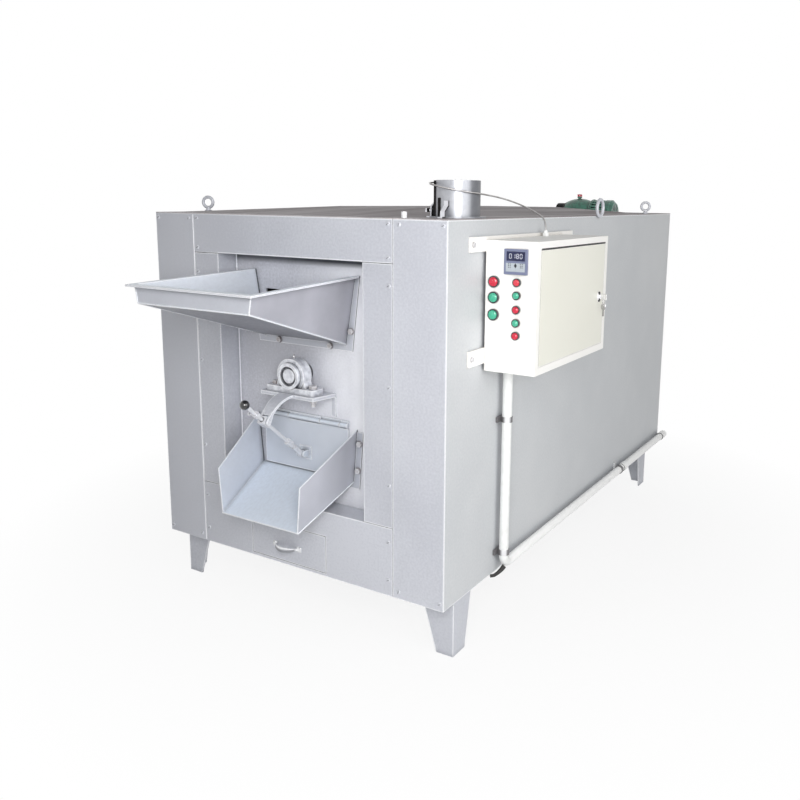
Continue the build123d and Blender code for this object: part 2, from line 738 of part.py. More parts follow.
def box_door():
    s = box_sheet
    door = block((box_face - 14, box_face), door_y, door_z)
    hollow_y, hollow_z = (door_y[0] + s, door_y[1] - s), (door_z[0] + s, door_z[1] - s)
    door -= block((box_face - 20, box_face - s), hollow_y, hollow_z)
    door -= round_z(2 + running_fit, *hinge_line, (door_z[0] - 5, door_z[1] + 5))
    return door - round_x(10.05, *lock_point, (box_face - 20, box_face + 5))


def box_lock():
    y, z = lock_point
    key = (y - 1.5, y + 1.5)
    face, proud = box_face + 0.2, box_face + 4
    barrel = round_x(10, y, z, (box_face - 26, proud)) + round_x(14, y, z, (face, proud))
    cam = block((box_face - 24, box_face - 20), (y - 9, y + 9), (z - 56, z + 9))
    blade = block((proud, proud + 8), key, (z - 5, z + 5))
    bow = block((proud + 8, proud + 26), key, (z - 11, z + 11))
    return barrel + cam + blade + bow


def temperature_controller():
    face = box_front - 8
    rim = block((unit_x[0] - 4, unit_x[1] + 4), (face, box_front), (unit_z[0] - 4, unit_z[1] + 4))
    window = block((unit_x[0] + 3, unit_x[1] - 3), (face - 1, face + 1.5), (unit_z[1] - 32, unit_z[1] - 3))
    body = block(unit_x, (box_front, box_front + 68), unit_z)
    key_z = (unit_z[0] + 6, unit_z[0] + 13)
    keys = [block((x, x + 11), (face - 1.2, face), key_z) for x in (683, 698, 713, 728)]
    return rim - window + body + keys


def button_places():
    large = [(large_button_x, z) for z in large_buttons.values()]
    small = [(small_button_x, z) for z in (lamp_height, *small_buttons.values())]
    return large + small


def button_bezels():
    bezels = []
    face = box_front - 8
    for x, z in button_places():
        outer, inner = (18, 14.4) if x == large_button_x else (13, 10.4)
        ring = round_y(outer, x, z, (face, box_front)) - round_y(inner, x, z, (face - 1, face + 5))
        barrel = round_y(11, x, z, (box_front, box_front + 28))
        bezels.append(ring + barrel - round_y(6.4, x, z, (face - 2, box_front + 40)))
    return group(*bezels)


def push_button(x, z, radius):
    cap = round_y(radius, x, z, (box_front - 12, box_front - 7))
    rim = cap.edges().filter_by(GeomType.CIRCLE).sort_by(Axis.Y)[0]
    return chamfer(rim, 1.5) + round_y(6, x, z, (box_front - 7.5, box_front + 22))


def pilot_lamp():
    lens = round_y(10, small_button_x, lamp_height, (box_front - 11, box_front - 3))
    rim = lens.edges().filter_by(GeomType.CIRCLE).sort_by(Axis.Y)[0]
    return chamfer(rim, 3) + round_y(6.3, small_button_x, lamp_height, (box_front - 3, box_front + 20))


def box_contents():
    near, inset = box_back + 5, 20
    carrier_z = (box_bottom + inset, box_top - inset)
    carrier = block((box_back + 2, near), (box_front + 60, box_rear - inset), carrier_z)
    contactors = [block((near, near + 70), (y, y + 56), (1130, 1210)) for y in (-740, -660, -580)]
    terminals = block((near, near + 40), (-750, -420), (980, 1020))
    breaker = block((near, near + 65), (-480, -400), (1130, 1220))
    return group(carrier, *contactors, terminals, breaker)


# Conduit, clips, gland and the thermocouple lead
def conduit():
    path = FilletPolyline((conduit_x, conduit_y, box_bottom), (conduit_x, conduit_y, conduit_run_height),
                          (conduit_x, back + 12, conduit_run_height), radius=36)
    return sweep(Plane(origin=path @ 0, z_dir=path % 0) * Circle(conduit_radius), path)


def cable_fittings():
    ring, half, foot = conduit_radius + 3, 9.0, 8.0
    made = []
    for z in clip_heights:
        span = (z - half, z + half)
        clip = round_z(ring, conduit_x, conduit_y, span)
        clip += block((right, right + foot), (conduit_y - 30, conduit_y + 30), span)
        clip += block((right + foot - 1, conduit_x), (conduit_y - half, conduit_y + half), span)
        made.append(clip - round_z(conduit_radius, conduit_x, conduit_y, (z - 20, z + 20)))
    span = (clip_along - half, clip_along + half)
    clip = round_y(ring, conduit_x, conduit_run_height, span)
    clip += block((right, right + foot), span, (conduit_run_height - 24, conduit_run_height + 30))
    clip += block((right + foot - 1, conduit_x), span, (conduit_run_height - half, conduit_run_height + half))
    bore = (clip_along - 20, clip_along + 20)
    made.append(clip - round_y(conduit_radius, conduit_x, conduit_run_height, bore))
    x, y, lead_start = lead_points[0]
    gland = hexagon_z(19, x, y, (box_top, box_top + 10)) + round_z(7, x, y, (box_top + 9, lead_start))
    stop = round_y(conduit_radius + 2, conduit_x, conduit_run_height, (back + 12, back + 18))
    return group(*made, gland, stop)


def thermocouple_lead():
    radii = []
    for before, here, after in zip(lead_points, lead_points[1:], lead_points[2:]):
        arriving = Vector(*here) - Vector(*before)
        leaving = Vector(*after) - Vector(*here)
        half_turn = radians(arriving.get_angle(leaving)) / 2
        radii.append(min(0.45 * min(arriving.length, leaving.length) / tan(half_turn), 400.0))
    path = FilletPolyline(*lead_points, radius=radii)
    return sweep(Plane(origin=path @ 0, z_dir=path % 0) * Circle(lead_radius), path)


# Drive: motor, worm reducer, sprockets and chain
def chain_centres():
    """The centre distance at which the chain's links just go round both sprockets."""
    low, high = 300.0, 700.0
    for _ in range(60):
        distance = (low + high) / 2
        if chain_length(distance) < chain_links * chain_pitch:
            low = distance
        else:
            high = distance
    return distance


def chain_length(distance):
    lean = acos((drum_sprocket_radius - drive_radius) / distance)
    straight = 2 * distance * sin(lean)
    return straight + 2 * drive_radius * lean + 2 * drum_sprocket_radius * (pi - lean)


drive_axis = drum_axis + chain_centres()
motor_axis = 1360.0
platform_top = 1180.0
platform_thickness = 12.0


def chain_point(travel):
    """The place and heading on the chain's pitch line, from the right side of the top sprocket."""
    distance = drive_axis - drum_axis
    lean = acos((drum_sprocket_radius - drive_radius) / distance)
    straight = distance * sin(lean)
    rise = pi / 2 - lean
    travel %= chain_length(distance)
    if travel < straight:
        x = drive_radius * cos(rise) + travel * sin(rise)
        z = drive_axis + drive_radius * sin(rise) - travel * cos(rise)
        return x, z, rise - pi / 2
    travel -= straight
    if travel < 2 * drum_sprocket_radius * (pi - lean):
        angle = rise - travel / drum_sprocket_radius
        x, z = drum_sprocket_radius * cos(angle), drum_sprocket_radius * sin(angle)
        return x, drum_axis + z, angle - pi / 2
    travel -= 2 * drum_sprocket_radius * (pi - lean)
    if travel < straight:
        x, z, heading = chain_point(straight - travel)
        return -x, z, -heading
    angle = pi - rise - (travel - straight) / drive_radius
    return drive_radius * cos(angle), drive_axis + drive_radius * sin(angle), angle - pi / 2


def drive_chain():
    links = []
    length = chain_length(drive_axis - drum_axis)
    high, end_reach, thick, narrow, wide, roller_half = 15.0, 12.0, 4.0, 13.0, 18.0, 12.5
    free_span = 22.0
    for link in range(chain_links):
        start = chain_point(length * link / chain_links)
        end = chain_point(length * (link + 1) / chain_links)
        span = hypot(end[0] - start[0], end[1] - start[1])
        tilt = degrees(atan2(end[1] - start[1], end[0] - start[0]))
        outline = [(-end_reach, 0), (-high / 2, -high), (span + high / 2, -high), (span + end_reach, 0),
                   (span + high / 2, high), (-high / 2, high)]
        plate = make_face(Polyline(*outline, close=True))
        inside = narrow if link % 2 else wide
        for y in (chain_plane - inside, chain_plane + inside + thick):
            plane = Plane(origin=(start[0], y, start[1]), x_dir=(1, 0, 0), z_dir=(0, -1, 0))
            links.append(extrude(plane * Rot(0, 0, tilt) * plate, thick))
        clear = min(hypot(start[0], start[1] - drum_axis) - drum_sprocket_radius,
                    hypot(start[0], start[1] - drive_axis) - drive_radius)
        if clear > free_span:
            near = (start[0], chain_plane + roller_half, start[1])
            plane = Plane(origin=near, x_dir=(1, 0, 0), z_dir=(0, -1, 0))
            links.append(extrude(plane * RegularPolygon(roller_radius, 10), 2 * roller_half))
    return group(*links)


def sprocket(teeth, pitch_radius, axis, bore):
    wheel = round_y(pitch_radius + 7, 0, axis, (chain_plane - 7, chain_plane + 7))
    seats = []
    for tooth in range(teeth):
        angle = 2 * pi * (tooth + 0.5) / teeth
        seats.append(round_y(roller_radius + 0.4, pitch_radius * cos(angle), axis + pitch_radius * sin(angle),
                             (chain_plane - 10, chain_plane + 10)))
    hub = round_y(bore + 16, 0, axis, (chain_plane - 30, chain_plane + 7))
    return wheel - seats + hub - round_y(bore, 0, axis, (chain_plane - 60, chain_plane + 60))


def drum_sprocket():
    return sprocket(drum_teeth, drum_sprocket_radius, drum_axis, shaft_radius)


def drive_sprocket():
    shaft = round_y(20, 0, drive_axis, (chain_plane - 24, reducer_y + 40))
    return sprocket(drive_teeth, drive_radius, drive_axis, 20) + shaft


def reducer():
    y = reducer_y
    flange, rear, barrel_radius, wheel_radius = 73.0, -92.0, 84.0, 96.0
    worm = Plane(origin=(0, y, motor_axis), x_dir=(1, 0, 0), z_dir=(0, -1, 0))
    crown = ThreePointArc((rear, 60), (-10, barrel_radius), (flange, 66))
    shaft_line = Line((flange, 0), (rear, 0))
    outline = [Line((rear, 0), (rear, 60)), crown, Line((flange, 66), (flange, 0)), shaft_line]
    case = revolve(worm * make_face(outline), Axis((0, y, motor_axis), (1, 0, 0)))
    case += round_x(58, y, motor_axis, (rear - 44, rear + 2))
    wheel = round_y(wheel_radius, 0, drive_axis, (y - 45, y + 45))
    case += wheel & block((-200, flange), (y - 150, y + 150), (0, 2000))
    case += block((-80, flange), (y - 40, y + 40), (platform_top + 8, drive_axis))
    case += block((-105, 105), (y - 55, y + 55), (platform_top, platform_top + 14))
    case += round_y(48, 0, drive_axis, (y - 62, y + 52))
    breather = motor_axis + barrel_radius - 8
    case += round_z(9, -10, y, (breather, breather + 22))
    case += hexagon_z(26, -10, y, (breather + 11, breather + 19))
    return case - round_y(20 + running_fit, 0, drive_axis, (chain_plane, y + 41))


def motor():
    y = reducer_y
    fins, root, crest, cowl_radius = 24, 68, 76, 78
    outline = []
    for fin in range(fins):
        for share, radius in ((0.0, root), (0.3, root), (0.4, crest), (0.9, crest)):
            angle = 2 * pi * (fin + share) / fins
            outline.append((y + radius * cos(angle), motor_axis + radius * sin(angle)))
    cowl = round_x(cowl_radius, y, motor_axis, (158, 205))
    rear_rim = cowl.edges().filter_by(GeomType.CIRCLE).sort_by(Axis.X)[-1]
    body = sheet_x(outline, (83, 160)) + round_x(80, y, motor_axis, (73, 85)) + chamfer(rear_rim, 16)
    return body + block((90, 150), (y + 60, y + 112), (motor_axis - 28, motor_axis + 28))


def motor_platform():
    half = (-232, 240)
    low = platform_top - platform_thickness
    end, drop = reducer_y + 70, low - 330
    plate = block(half, (back, reducer_y + 85), (low, platform_top))
    plate -= block((-128, 128), (chain_plane - 44, chain_plane + 44), (platform_top - 30, platform_top + 5))
    knee = [(back, low), (end, low), (end, low - 30), (back + 40, drop), (back, drop)]
    window = [(back + 40, low - 34), (reducer_y - 20, low - 34), (back + 40, low - 270)]
    for x in ((half[0], half[0] + 8), (half[1] - 8, half[1])):
        plate += sheet_x(knee, x) - sheet_x(window, x)
    return plate


def chain_guard():
    y = (chain_plane - 38, chain_plane + 38)
    small, large = drive_radius + 26, drum_sprocket_radius + 26

    def pod(extra, span):
        return guard_outline(small + extra, large + extra, span)

    guard = pod(2, y) - pod(0, (y[0] - 5, y[1] - 2))
    guard -= round_y(34, 0, drive_axis, (y[0], y[1] + 5))
    tab_z = (platform_top, platform_top + 4)
    for x in ((90, 158), (-158, -90)):
        tab = block(x, (chain_plane - 20, chain_plane + 20), tab_z)
        guard += tab - pod(1, (y[0] - 5, y[1] + 5))
    low = drum_axis - large - 2
    guard += block((-20, 20), (back, y[1]), (low - 3.5, low + 0.5))
    return guard + block((-20, 20), (back, back + 4), (low - 45, low))


def guard_outline(small, large, y):
    """A pod round two circles on the drive's centre line, joined by their tangents."""
    distance = drive_axis - drum_axis
    rise = pi / 2 - acos((large - small) / distance)
    pod = round_y(small, 0, drive_axis, y) + round_y(large, 0, drum_axis, y)
    upper, lower = (small, drive_axis, 1), (large, drum_axis, 1)
    points = []
    for radius, axis, sign in (upper, lower, (large, drum_axis, -1), (small, drive_axis, -1)):
        points.append((sign * radius * cos(rise), axis + radius * sin(rise)))
    return pod + sheet_y(points, y)


# Fasteners
def fasteners():
    made = []
    for y in (bearing_y, rear_bearing_y):
        for x in (-bearing_bolt_reach, bearing_bolt_reach):
            bolt = round_z(8, x, y, (shelf_top - 40, shelf_top + 25))
            bolt += hexagon_z(24, x, y, (shelf_top + 20, shelf_top + 30))
            made.append(bolt + hexagon_z(24, x, y, (shelf_top - 26, shelf_top - shelf_thickness)))
    face = (plate_front - sheet - 8, plate_front - sheet)
    for x, z in ((110, 955), (196, 1010), (219, 548), (226, 640)):
        made += [hexagon_y(17, -x, z, face), hexagon_y(17, x, z, face)]
    for z in (1299, 955):
        for y in (box_front - 80, box_rear + 80):
            made.append(round_x(8, y, z, (box_back, box_back + 5)))
    made.append(round_z(9, 400, front + 80, (top, top + 18)))
    return group(*made)


parts = {
    "welded_frame": welded_frame(),
    "legs": legs(),
    "side_panels": side_panels(),
    "rear_panel": rear_panel(),
    "bottom_panel": bottom_panel(),
    "top_panel": top_panel(),
    "front_corner_panels": front_corner_panels(),
    "recess_jambs": recess_jambs(),
    "header_panel": header_panel(),
    "lower_panel": lower_panel(),
    "front_plate": front_plate(),
    "inner_lining": inner_lining(),
    "insulation": insulation(),
    "heater_tubes": heater_tubes(),
    "drum_shell": drum_shell(),
    "drum_flights": drum_flights(),
    "drum_ends": group(front_spider(), rear_disc()),
    "stub_shafts": stub_shafts(),
    "bearing_housings": bearing_housings(),
    "bearing_inserts": bearing_inserts(),
    "bearing_shelves": bearing_shelves(),
    "door_hinge": door_hinge(),
    "discharge_door": discharge_door(),
    "pull_rod": pull_rod(),
    "ball_knob": ball_knob(),
    "swivel_block": swivel_block(),
    "latch_arm": latch_arm(),
    "hopper": hopper(),
    "chute": chute(),
    "drawer": drawer(),
    "drawer_handle": drawer_handle(),
    "chimney": chimney(),
    "chimney_straps": chimney_straps(),
    "lifting_eyes": lifting_eyes(),
    "box_straps": box_straps(),
    "box_shell": box_shell(),
    "box_door": box_door(),
    "box_lock": box_lock(),
    "temperature_controller": temperature_controller(),
    "button_bezels": button_bezels(),
    "pilot_lamp": pilot_lamp(),
    "box_contents": box_contents(),
    "conduit": conduit(),
    "cable_fittings": cable_fittings(),
    "thermocouple_lead": thermocouple_lead(),
    "drive_chain": drive_chain(),
    "drum_sprocket": drum_sprocket(),
    "drive_sprocket": drive_sprocket(),
    "reducer": reducer(),
    "motor": motor(),
    "motor_platform": motor_platform(),
    "chain_guard": chain_guard(),
    "fasteners": fasteners(),
}
for name, height in large_buttons.items():
    parts[f"{name}_button"] = push_button(large_button_x, height, 14)
for name, height in small_buttons.items():
    parts[f"heat_{name}_button"] = push_button(small_button_x, height, 10)

os.makedirs("parts", exist_ok=True)
for name, shape in parts.items():
    export_step(shape, f"parts/{name}.step")
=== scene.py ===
import math

import bmesh
import bpy
import numpy as np
from mathutils import Matrix, Vector


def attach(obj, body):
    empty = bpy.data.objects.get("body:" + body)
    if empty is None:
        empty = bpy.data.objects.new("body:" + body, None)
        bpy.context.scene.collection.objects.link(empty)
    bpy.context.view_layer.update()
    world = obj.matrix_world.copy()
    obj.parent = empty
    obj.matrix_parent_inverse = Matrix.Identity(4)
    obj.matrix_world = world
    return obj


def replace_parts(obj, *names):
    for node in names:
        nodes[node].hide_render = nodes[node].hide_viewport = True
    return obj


bpy.ops.wm.read_factory_settings(use_empty=True)
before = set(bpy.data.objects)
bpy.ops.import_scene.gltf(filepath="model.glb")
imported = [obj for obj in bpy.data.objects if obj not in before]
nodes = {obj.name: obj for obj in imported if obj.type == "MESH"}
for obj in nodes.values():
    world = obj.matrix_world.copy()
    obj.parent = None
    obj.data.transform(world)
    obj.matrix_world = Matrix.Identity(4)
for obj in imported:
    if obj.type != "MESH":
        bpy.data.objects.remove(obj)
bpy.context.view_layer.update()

# Frame
# Square steel tube welded into a cage and primed grey before the sheets go on.
# It carries the whole machine, and only the tubes' ends can be seen, from below.


def linear(red, green, blue):
    """A colour given as 0 to 255 on a screen, as the light values that a shader takes."""
    share = np.array([red, green, blue]) / 255.0
    light = np.where(share <= 0.04045, share / 12.92, ((share + 0.055) / 1.055) ** 2.4)
    return (*light.tolist(), 1.0)


def add(tree, kind, inputs=None, **settings):
    """A shader node with its settings, and its inputs as plain values or as other nodes' outputs."""
    made = tree.nodes.new(kind)
    for name, value in settings.items():
        setattr(made, name, value)
    for name, value in (inputs or {}).items():
        if isinstance(value, bpy.types.NodeSocket):
            tree.links.new(value, made.inputs[name])
        else:
            made.inputs[name].default_value = value
    return made


def blank(name):
    """A new material and its empty tree."""
    material = bpy.data.materials.new(name)
    material.use_nodes = True
    material.node_tree.nodes.clear()
    return material, material.node_tree


def start_finish(name, **shader):
    """A new material: its tree, its shader and the piece's own coordinates in metres."""
    material, tree = blank(name)
    inputs = {key.replace("_", " "): value for key, value in shader.items()}
    surface = add(tree, "ShaderNodeBsdfPrincipled", inputs)
    add(tree, "ShaderNodeOutputMaterial", {"Surface": surface.outputs[0]})
    place = add(tree, "ShaderNodeTexCoord").outputs["Object"]
    return material, tree, surface, place


def grain(tree, place, scale, detail=3.0, stretch=(1, 1, 1)):
    """Noise over the piece, drawn out along an axis whose stretch is small."""
    moved = add(tree, "ShaderNodeMapping", {"Vector": place, "Scale": stretch}).outputs[0]
    return add(tree, "ShaderNodeTexNoise", {"Vector": moved, "Scale": scale, "Detail": detail}).outputs[0]


def reckon(tree, operation, *values):
    """A sum done by the shader, such as MULTIPLY or MULTIPLY_ADD, on values or other nodes' outputs."""
    return add(tree, "ShaderNodeMath", dict(enumerate(values)), operation=operation).outputs[0]


def spread(tree, value, low, high, bottom, top):
    """A value between two levels turned into another range, clamped."""
    inputs = {"Value": value, "From Min": low, "From Max": high, "To Min": bottom, "To Max": top}
    return add(tree, "ShaderNodeMapRange", inputs).outputs[0]


def between(tree, share, first, second):
    """A colour mixed from two by a share."""
    mix = add(tree, "ShaderNodeMix", {0: share, 6: first, 7: second}, data_type="RGBA")
    return mix.outputs[2]


def feed(node, name, value):
    """Wires another node's output into one of a node's inputs."""
    node.id_data.links.new(value, node.inputs[name])


def relief(tree, surface, height, depth, rounding=0.0):
    """Fine relief on the surface, with the sheet's edges rounded off where asked."""
    bump = add(tree, "ShaderNodeBump", {"Height": height, "Distance": depth, "Strength": 1.0})
    if rounding:
        edge = add(tree, "ShaderNodeBevel", {"Radius": rounding}, samples=4)
        feed(bump, "Normal", edge.outputs[0])
    feed(surface, "Normal", bump.outputs[0])


def edge_light_and_corner_shade(tree, paint, edge_highlight, painted_shade, width, shade_share=0.65, reach=0.03):
    """Paint with painted highlights along edges, where a rounded normal leaves the face's own, and painted
    shade in corners, where something stands close to the face. Without a width no edge highlight is
    painted."""
    open_air = add(tree, "ShaderNodeAmbientOcclusion", {"Distance": reach}, samples=6).outputs["AO"]
    if width:
        rounded = add(tree, "ShaderNodeBevel", {"Radius": width}, samples=6).outputs[0]
        flat = add(tree, "ShaderNodeNewGeometry").outputs["True Normal"]
        normals = {0: rounded, 1: flat}
        agree = add(tree, "ShaderNodeVectorMath", normals, operation="DOT_PRODUCT").outputs["Value"]
        edge = spread(tree, reckon(tree, "ABSOLUTE", agree), 0.996, 0.92, 0.0, 1.0)
        painted_light = reckon(tree, "MULTIPLY", edge, spread(tree, open_air, 0.4, 0.62, 0, 1))
        paint = between(tree, painted_light, paint, edge_highlight)
    return between(tree, spread(tree, open_air, 0.3, 0.78, shade_share, 0.0), paint, painted_shade)


def sprayed(name, colour, shade, edge_highlight, painted_shade, metallic=0.1, rough=(0.36, 0.5), width=0.006, speckle=0.9,
            peel_depth=0.00012):
    """Sprayed paint: slow clouds where passes of the gun overlap, fine speckle, orange peel,
    painted highlights along the edges and painted shade in the corners."""
    material, tree, surface, place = start_finish(name, Metallic=metallic)
    clouds = grain(tree, place, 2.4, detail=4.0)
    mottle = grain(tree, place, 130.0, detail=4.0)
    peel = grain(tree, place, 420.0, detail=2.0)
    mixed = reckon(tree, "MULTIPLY_ADD", reckon(tree, "SUBTRACT", mottle, 0.5), speckle, clouds)
    paint = between(tree, spread(tree, mixed, 0.3, 0.7, 0.0, 1.0), shade, colour)
    feed(surface, "Base Color", edge_light_and_corner_shade(tree, paint, edge_highlight, painted_shade, width))
    feed(surface, "Roughness", spread(tree, mottle, 0.3, 0.7, *rough))
    relief(tree, surface, peel, peel_depth, rounding=0.0008 if width else 0.0)
    return material


def dress(material, *names):
    """Gives CAD nodes their finish."""
    for name in names:
        nodes[name].data.materials.clear()
        nodes[name].data.materials.append(material)


primer = sprayed("grey_primer", linear(120, 122, 126), linear(98, 100, 104), linear(150, 150, 152),
                 linear(60, 60, 62), rough=(0.55, 0.7))
dress(primer, "welded_frame")

# Casing and legs
# Folded steel sheet, screwed over the frame and sprayed with aluminium paint in place.
# The paint is pale and slightly blue, with painted highlights along the folds and cut edges and painted
# shade in the corners.
silver = linear(207, 209, 216)
silver_shade = linear(192, 194, 202)
silver_highlight = linear(248, 249, 252)
silver_corner_shade = linear(112, 115, 124)


def axes(tree, place):
    """The three coordinates of a place or a direction, each on its own."""
    return add(tree, "ShaderNodeSeparateXYZ", {0: place}).outputs[:3]


def over(material):
    """What is needed to colour over a finish: its tree, its surface, its colour so far and the
    piece's own coordinates."""
    tree = material.node_tree
    surface = next(node for node in tree.nodes if node.type == "BSDF_PRINCIPLED")
    colour = surface.inputs["Base Color"].links[0].from_socket
    place = add(tree, "ShaderNodeTexCoord").outputs["Object"]
    return tree, surface, colour, place


casing_paint = sprayed("aluminium_paint", silver, silver_shade, silver_highlight, silver_corner_shade)
# The front is painted darker towards the left, as painted shade of light falling from the right.
tree, surface, colour, place = over(casing_paint)
shaded_left = spread(tree, axes(tree, place)[0], -0.1, -0.6, 0, 0.85)
feed(surface, "Base Color", between(tree, shaded_left, colour, linear(188, 190, 197)))
side_paint = sprayed("aluminium_paint_side", linear(205, 207, 209), linear(194, 197, 200), silver_highlight,
                     silver_corner_shade)
# The jambs and legs get a darker copy of the aluminium paint, as painted shade.
shaded_jamb_paint = sprayed("aluminium_paint_shaded_jambs", linear(200, 202, 209), linear(186, 188, 196), silver_highlight,
                     silver_corner_shade)
dress(casing_paint, "front_corner_panels", "header_panel", "lower_panel")
dress(shaded_jamb_paint, "recess_jambs", "legs")
dress(side_paint, "side_panels", "rear_panel", "bottom_panel")

# Top panel
# The lid of the casing, a wide sheet that has bulged with the heat and browned a little.
# Dust has settled on it, so it is duller than the sides and streaked where it was wiped; it is also painted
# darker, as shade.
# The lid's colour is darker than the sides', partly dust and partly painted shade.
lid_paint = sprayed("browned_and_shaded_lid", linear(168, 163, 165), linear(148, 142, 144), linear(212, 210, 211),
                    linear(82, 76, 76), metallic=0.05, rough=(0.6, 0.8))
tree, surface, colour, place = over(lid_paint)
surface.inputs["Specular IOR Level"].default_value = 0.3
streaks = grain(tree, place, 11.0, detail=5.0, stretch=(1, 0.05, 1))
colour = between(tree, spread(tree, streaks, 0.34, 0.48, 0.75, 0), colour, linear(120, 111, 111))
colour = between(tree, spread(tree, streaks, 0.52, 0.66, 0, 0.75), colour, linear(202, 197, 198))
feed(surface, "Base Color", colour)
dress(lid_paint, "top_panel")

# Front plate
# The thick bulkhead behind the recess, which carries the front bearing and both openings.
# It runs hot, so its paint is duller and more blotched than the casing's.
# It is painted lighter in patches towards the right, as painted light, and dark under the header, as
# painted shadow.
plate_paint = sprayed("hot_plate_paint", linear(212, 213, 221), linear(190, 191, 198), silver_highlight,
                      silver_corner_shade, rough=(0.42, 0.6), width=0.0)
tree, surface, plate_tone, place = over(plate_paint)
to_right, _, up_plate = axes(tree, place)
# Painted light: lighter in patches towards the right.
light_patches = spread(tree, grain(tree, place, 9.0, detail=4.0, stretch=(1, 1, 0.5)), 0.35, 0.6, 0.55, 1.0)
lit_right = reckon(tree, "MULTIPLY", spread(tree, to_right, -0.05, 0.3, 0, 1), light_patches)
plate_tone = between(tree, lit_right, plate_tone, linear(250, 251, 255))
# Painted shadow: a dark band just under the header's edge, deeper towards the right.
shadow_foot, shadow_top = 1.211, 1.228
header_shadow = spread(tree, up_plate, shadow_foot, shadow_top, 0, 0.95)
shadow_under_header = reckon(tree, "MULTIPLY", header_shadow, spread(tree, to_right, -0.3, 0.1, 0.8, 1))
feed(surface, "Base Color", between(tree, shadow_under_header, plate_tone, linear(40, 42, 50)))
dress(plate_paint, "front_plate")

# Hot chamber
# A sheet lining, slabs of mineral wool behind it, and hairpin heaters under the drum.
# All of it is hidden until the doors are open; the steel is straw and blue from the heat.


def heat_tinted(name, cool, hot):
    """Bare steel with straw and blue heat colours in slow clouds and fine rolling lines."""
    material, tree, surface, place = start_finish(name, Metallic=0.85)
    clouds = grain(tree, place, 2.4, detail=4.0)
    lines = grain(tree, place, 160.0, detail=2.0, stretch=(1, 0.02, 1))
    tint = between(tree, spread(tree, clouds, 0.35, 0.65, 0, 1), cool, hot)
    feed(surface, "Base Color", tint)
    feed(surface, "Roughness", spread(tree, lines, 0.3, 0.7, 0.32, 0.5))
    relief(tree, surface, lines, depth=0.0001)
    return material


def fibrous(name, colour, shade):
    """Mineral wool: tangled fibres in two sizes and no shine."""
    material, tree, surface, place = start_finish(name, Roughness=0.95)
    fibres = grain(tree, place, 180.0, detail=6.0, stretch=(1, 0.2, 1))
    feed(surface, "Base Color", between(tree, fibres, shade, colour))
    relief(tree, surface, fibres, depth=0.002)
    return material


drum_finish = heat_tinted("heat_tinted_steel", linear(142, 134, 126), linear(104, 92, 84))
dress(drum_finish, "inner_lining", "drum_shell", "drum_flights", "drum_ends")
dress(heat_tinted("heater_sheath", linear(96, 90, 84), linear(60, 54, 52)), "heater_tubes")
dress(fibrous("mineral_wool", linear(196, 178, 120), linear(150, 130, 84)), "insulation")

# Bearings and shafts
# Cast pillow blocks on welded shelves, all painted over with the casing's aluminium paint.
# A grease nipple stands on top of each block, and the shelves are welded to the plate.
# Thin beads of filler stop the seams of the front round them, painted near white as the seams' highlights.


def cast(name, colour, shade, edge_highlight, painted_shade, metallic):
    """Painted casting: a lumpy sand-cast skin under the paint, painted highlights on its edges and painted
    shade in its hollows.
    """
    material, tree, surface, place = start_finish(name, Metallic=metallic)
    lumps = grain(tree, place, 60.0, detail=3.0)
    sand = grain(tree, place, 520.0, detail=3.0)
    height = reckon(tree, "MULTIPLY_ADD", sand, 0.5, lumps)
    paint = between(tree, spread(tree, lumps, 0.35, 0.65, 0, 1), shade, colour)
    paint = edge_light_and_corner_shade(tree, paint, edge_highlight, painted_shade, width=0.005, shade_share=0.95, reach=0.02)
    feed(surface, "Base Color", paint)
    feed(surface, "Roughness", spread(tree, sand, 0.3, 0.7, 0.34, 0.5))
    relief(tree, surface, height, depth=0.0008, rounding=0.003)
    return material


def turned(name, colour, shade, rough=(0.18, 0.34), rings=900.0):
    """Machined steel: fine tool marks and a little staining."""
    material, tree, surface, place = start_finish(name, Metallic=1.0)
    marks = grain(tree, place, rings, detail=2.0, stretch=(1, 0.3, 1))
    stain = grain(tree, place, 24.0, detail=4.0)
    steel = between(tree, spread(tree, stain, 0.35, 0.7, 0, 1), colour, shade)
    feed(surface, "Base Color", steel)
    feed(surface, "Roughness", spread(tree, marks, 0.3, 0.7, *rough))
    relief(tree, surface, marks, depth=0.00004, rounding=0.0012)
    return material


def lathe(start, axis, profile, steps=32):
    """A profile of (distance, radius) pairs, in millimetres, turned round the axis that leaves a start
    point: each pair gives a circle of that radius at that distance along the axis."""
    along, radius = np.array(profile, float).T / 1000
    axis = np.array(axis, float)
    side = np.cross(axis, (0.31, 0.52, 0.79))
    side /= np.linalg.norm(side)
    turn = np.linspace(0, 2 * np.pi, steps + 1)[:, None]
    circle = np.cos(turn) * side + np.sin(turn) * np.cross(axis, side)
    return np.array(start, float) + along[:, None, None] * axis + radius[:, None, None] * circle


def bead(path, radii, up=(0, 0, 1), sides=8):
    """A round section carried along a line of points: at each point a circle of its own radius,
    square to the line. A radius of 0 at both ends closes it."""
    path = np.asarray(path, float)
    ahead = np.gradient(path, axis=0)
    ahead /= np.linalg.norm(ahead, axis=1, keepdims=True)
    side = np.cross(ahead, up)
    side /= np.linalg.norm(side, axis=1, keepdims=True)
    other = np.cross(side, ahead)
    turn = np.linspace(0, 2 * np.pi, sides + 1)[None, :, None]
    circle = np.cos(turn) * side[:, None] + np.sin(turn) * other[:, None]
    return path[:, None] + np.asarray(radii, float)[:, None, None] * circle


def weld(start, end, radius=0.002, up=(0, 0, 1)):
    """A weld between two points: a thin bead whose radius swells and shrinks every 5 mm."""
    start, end = np.array(start, float), np.array(end, float)
    length = np.linalg.norm(end - start)
    share = np.linspace(0, 1, max(int(length / 0.00125), 8))
    swell = radius * (1 + 0.14 * np.sin(share * length / 0.005 * 2 * np.pi))
    swell[[0, -1]] = 0
    return bead(start + (end - start) * share[:, None], swell, up)


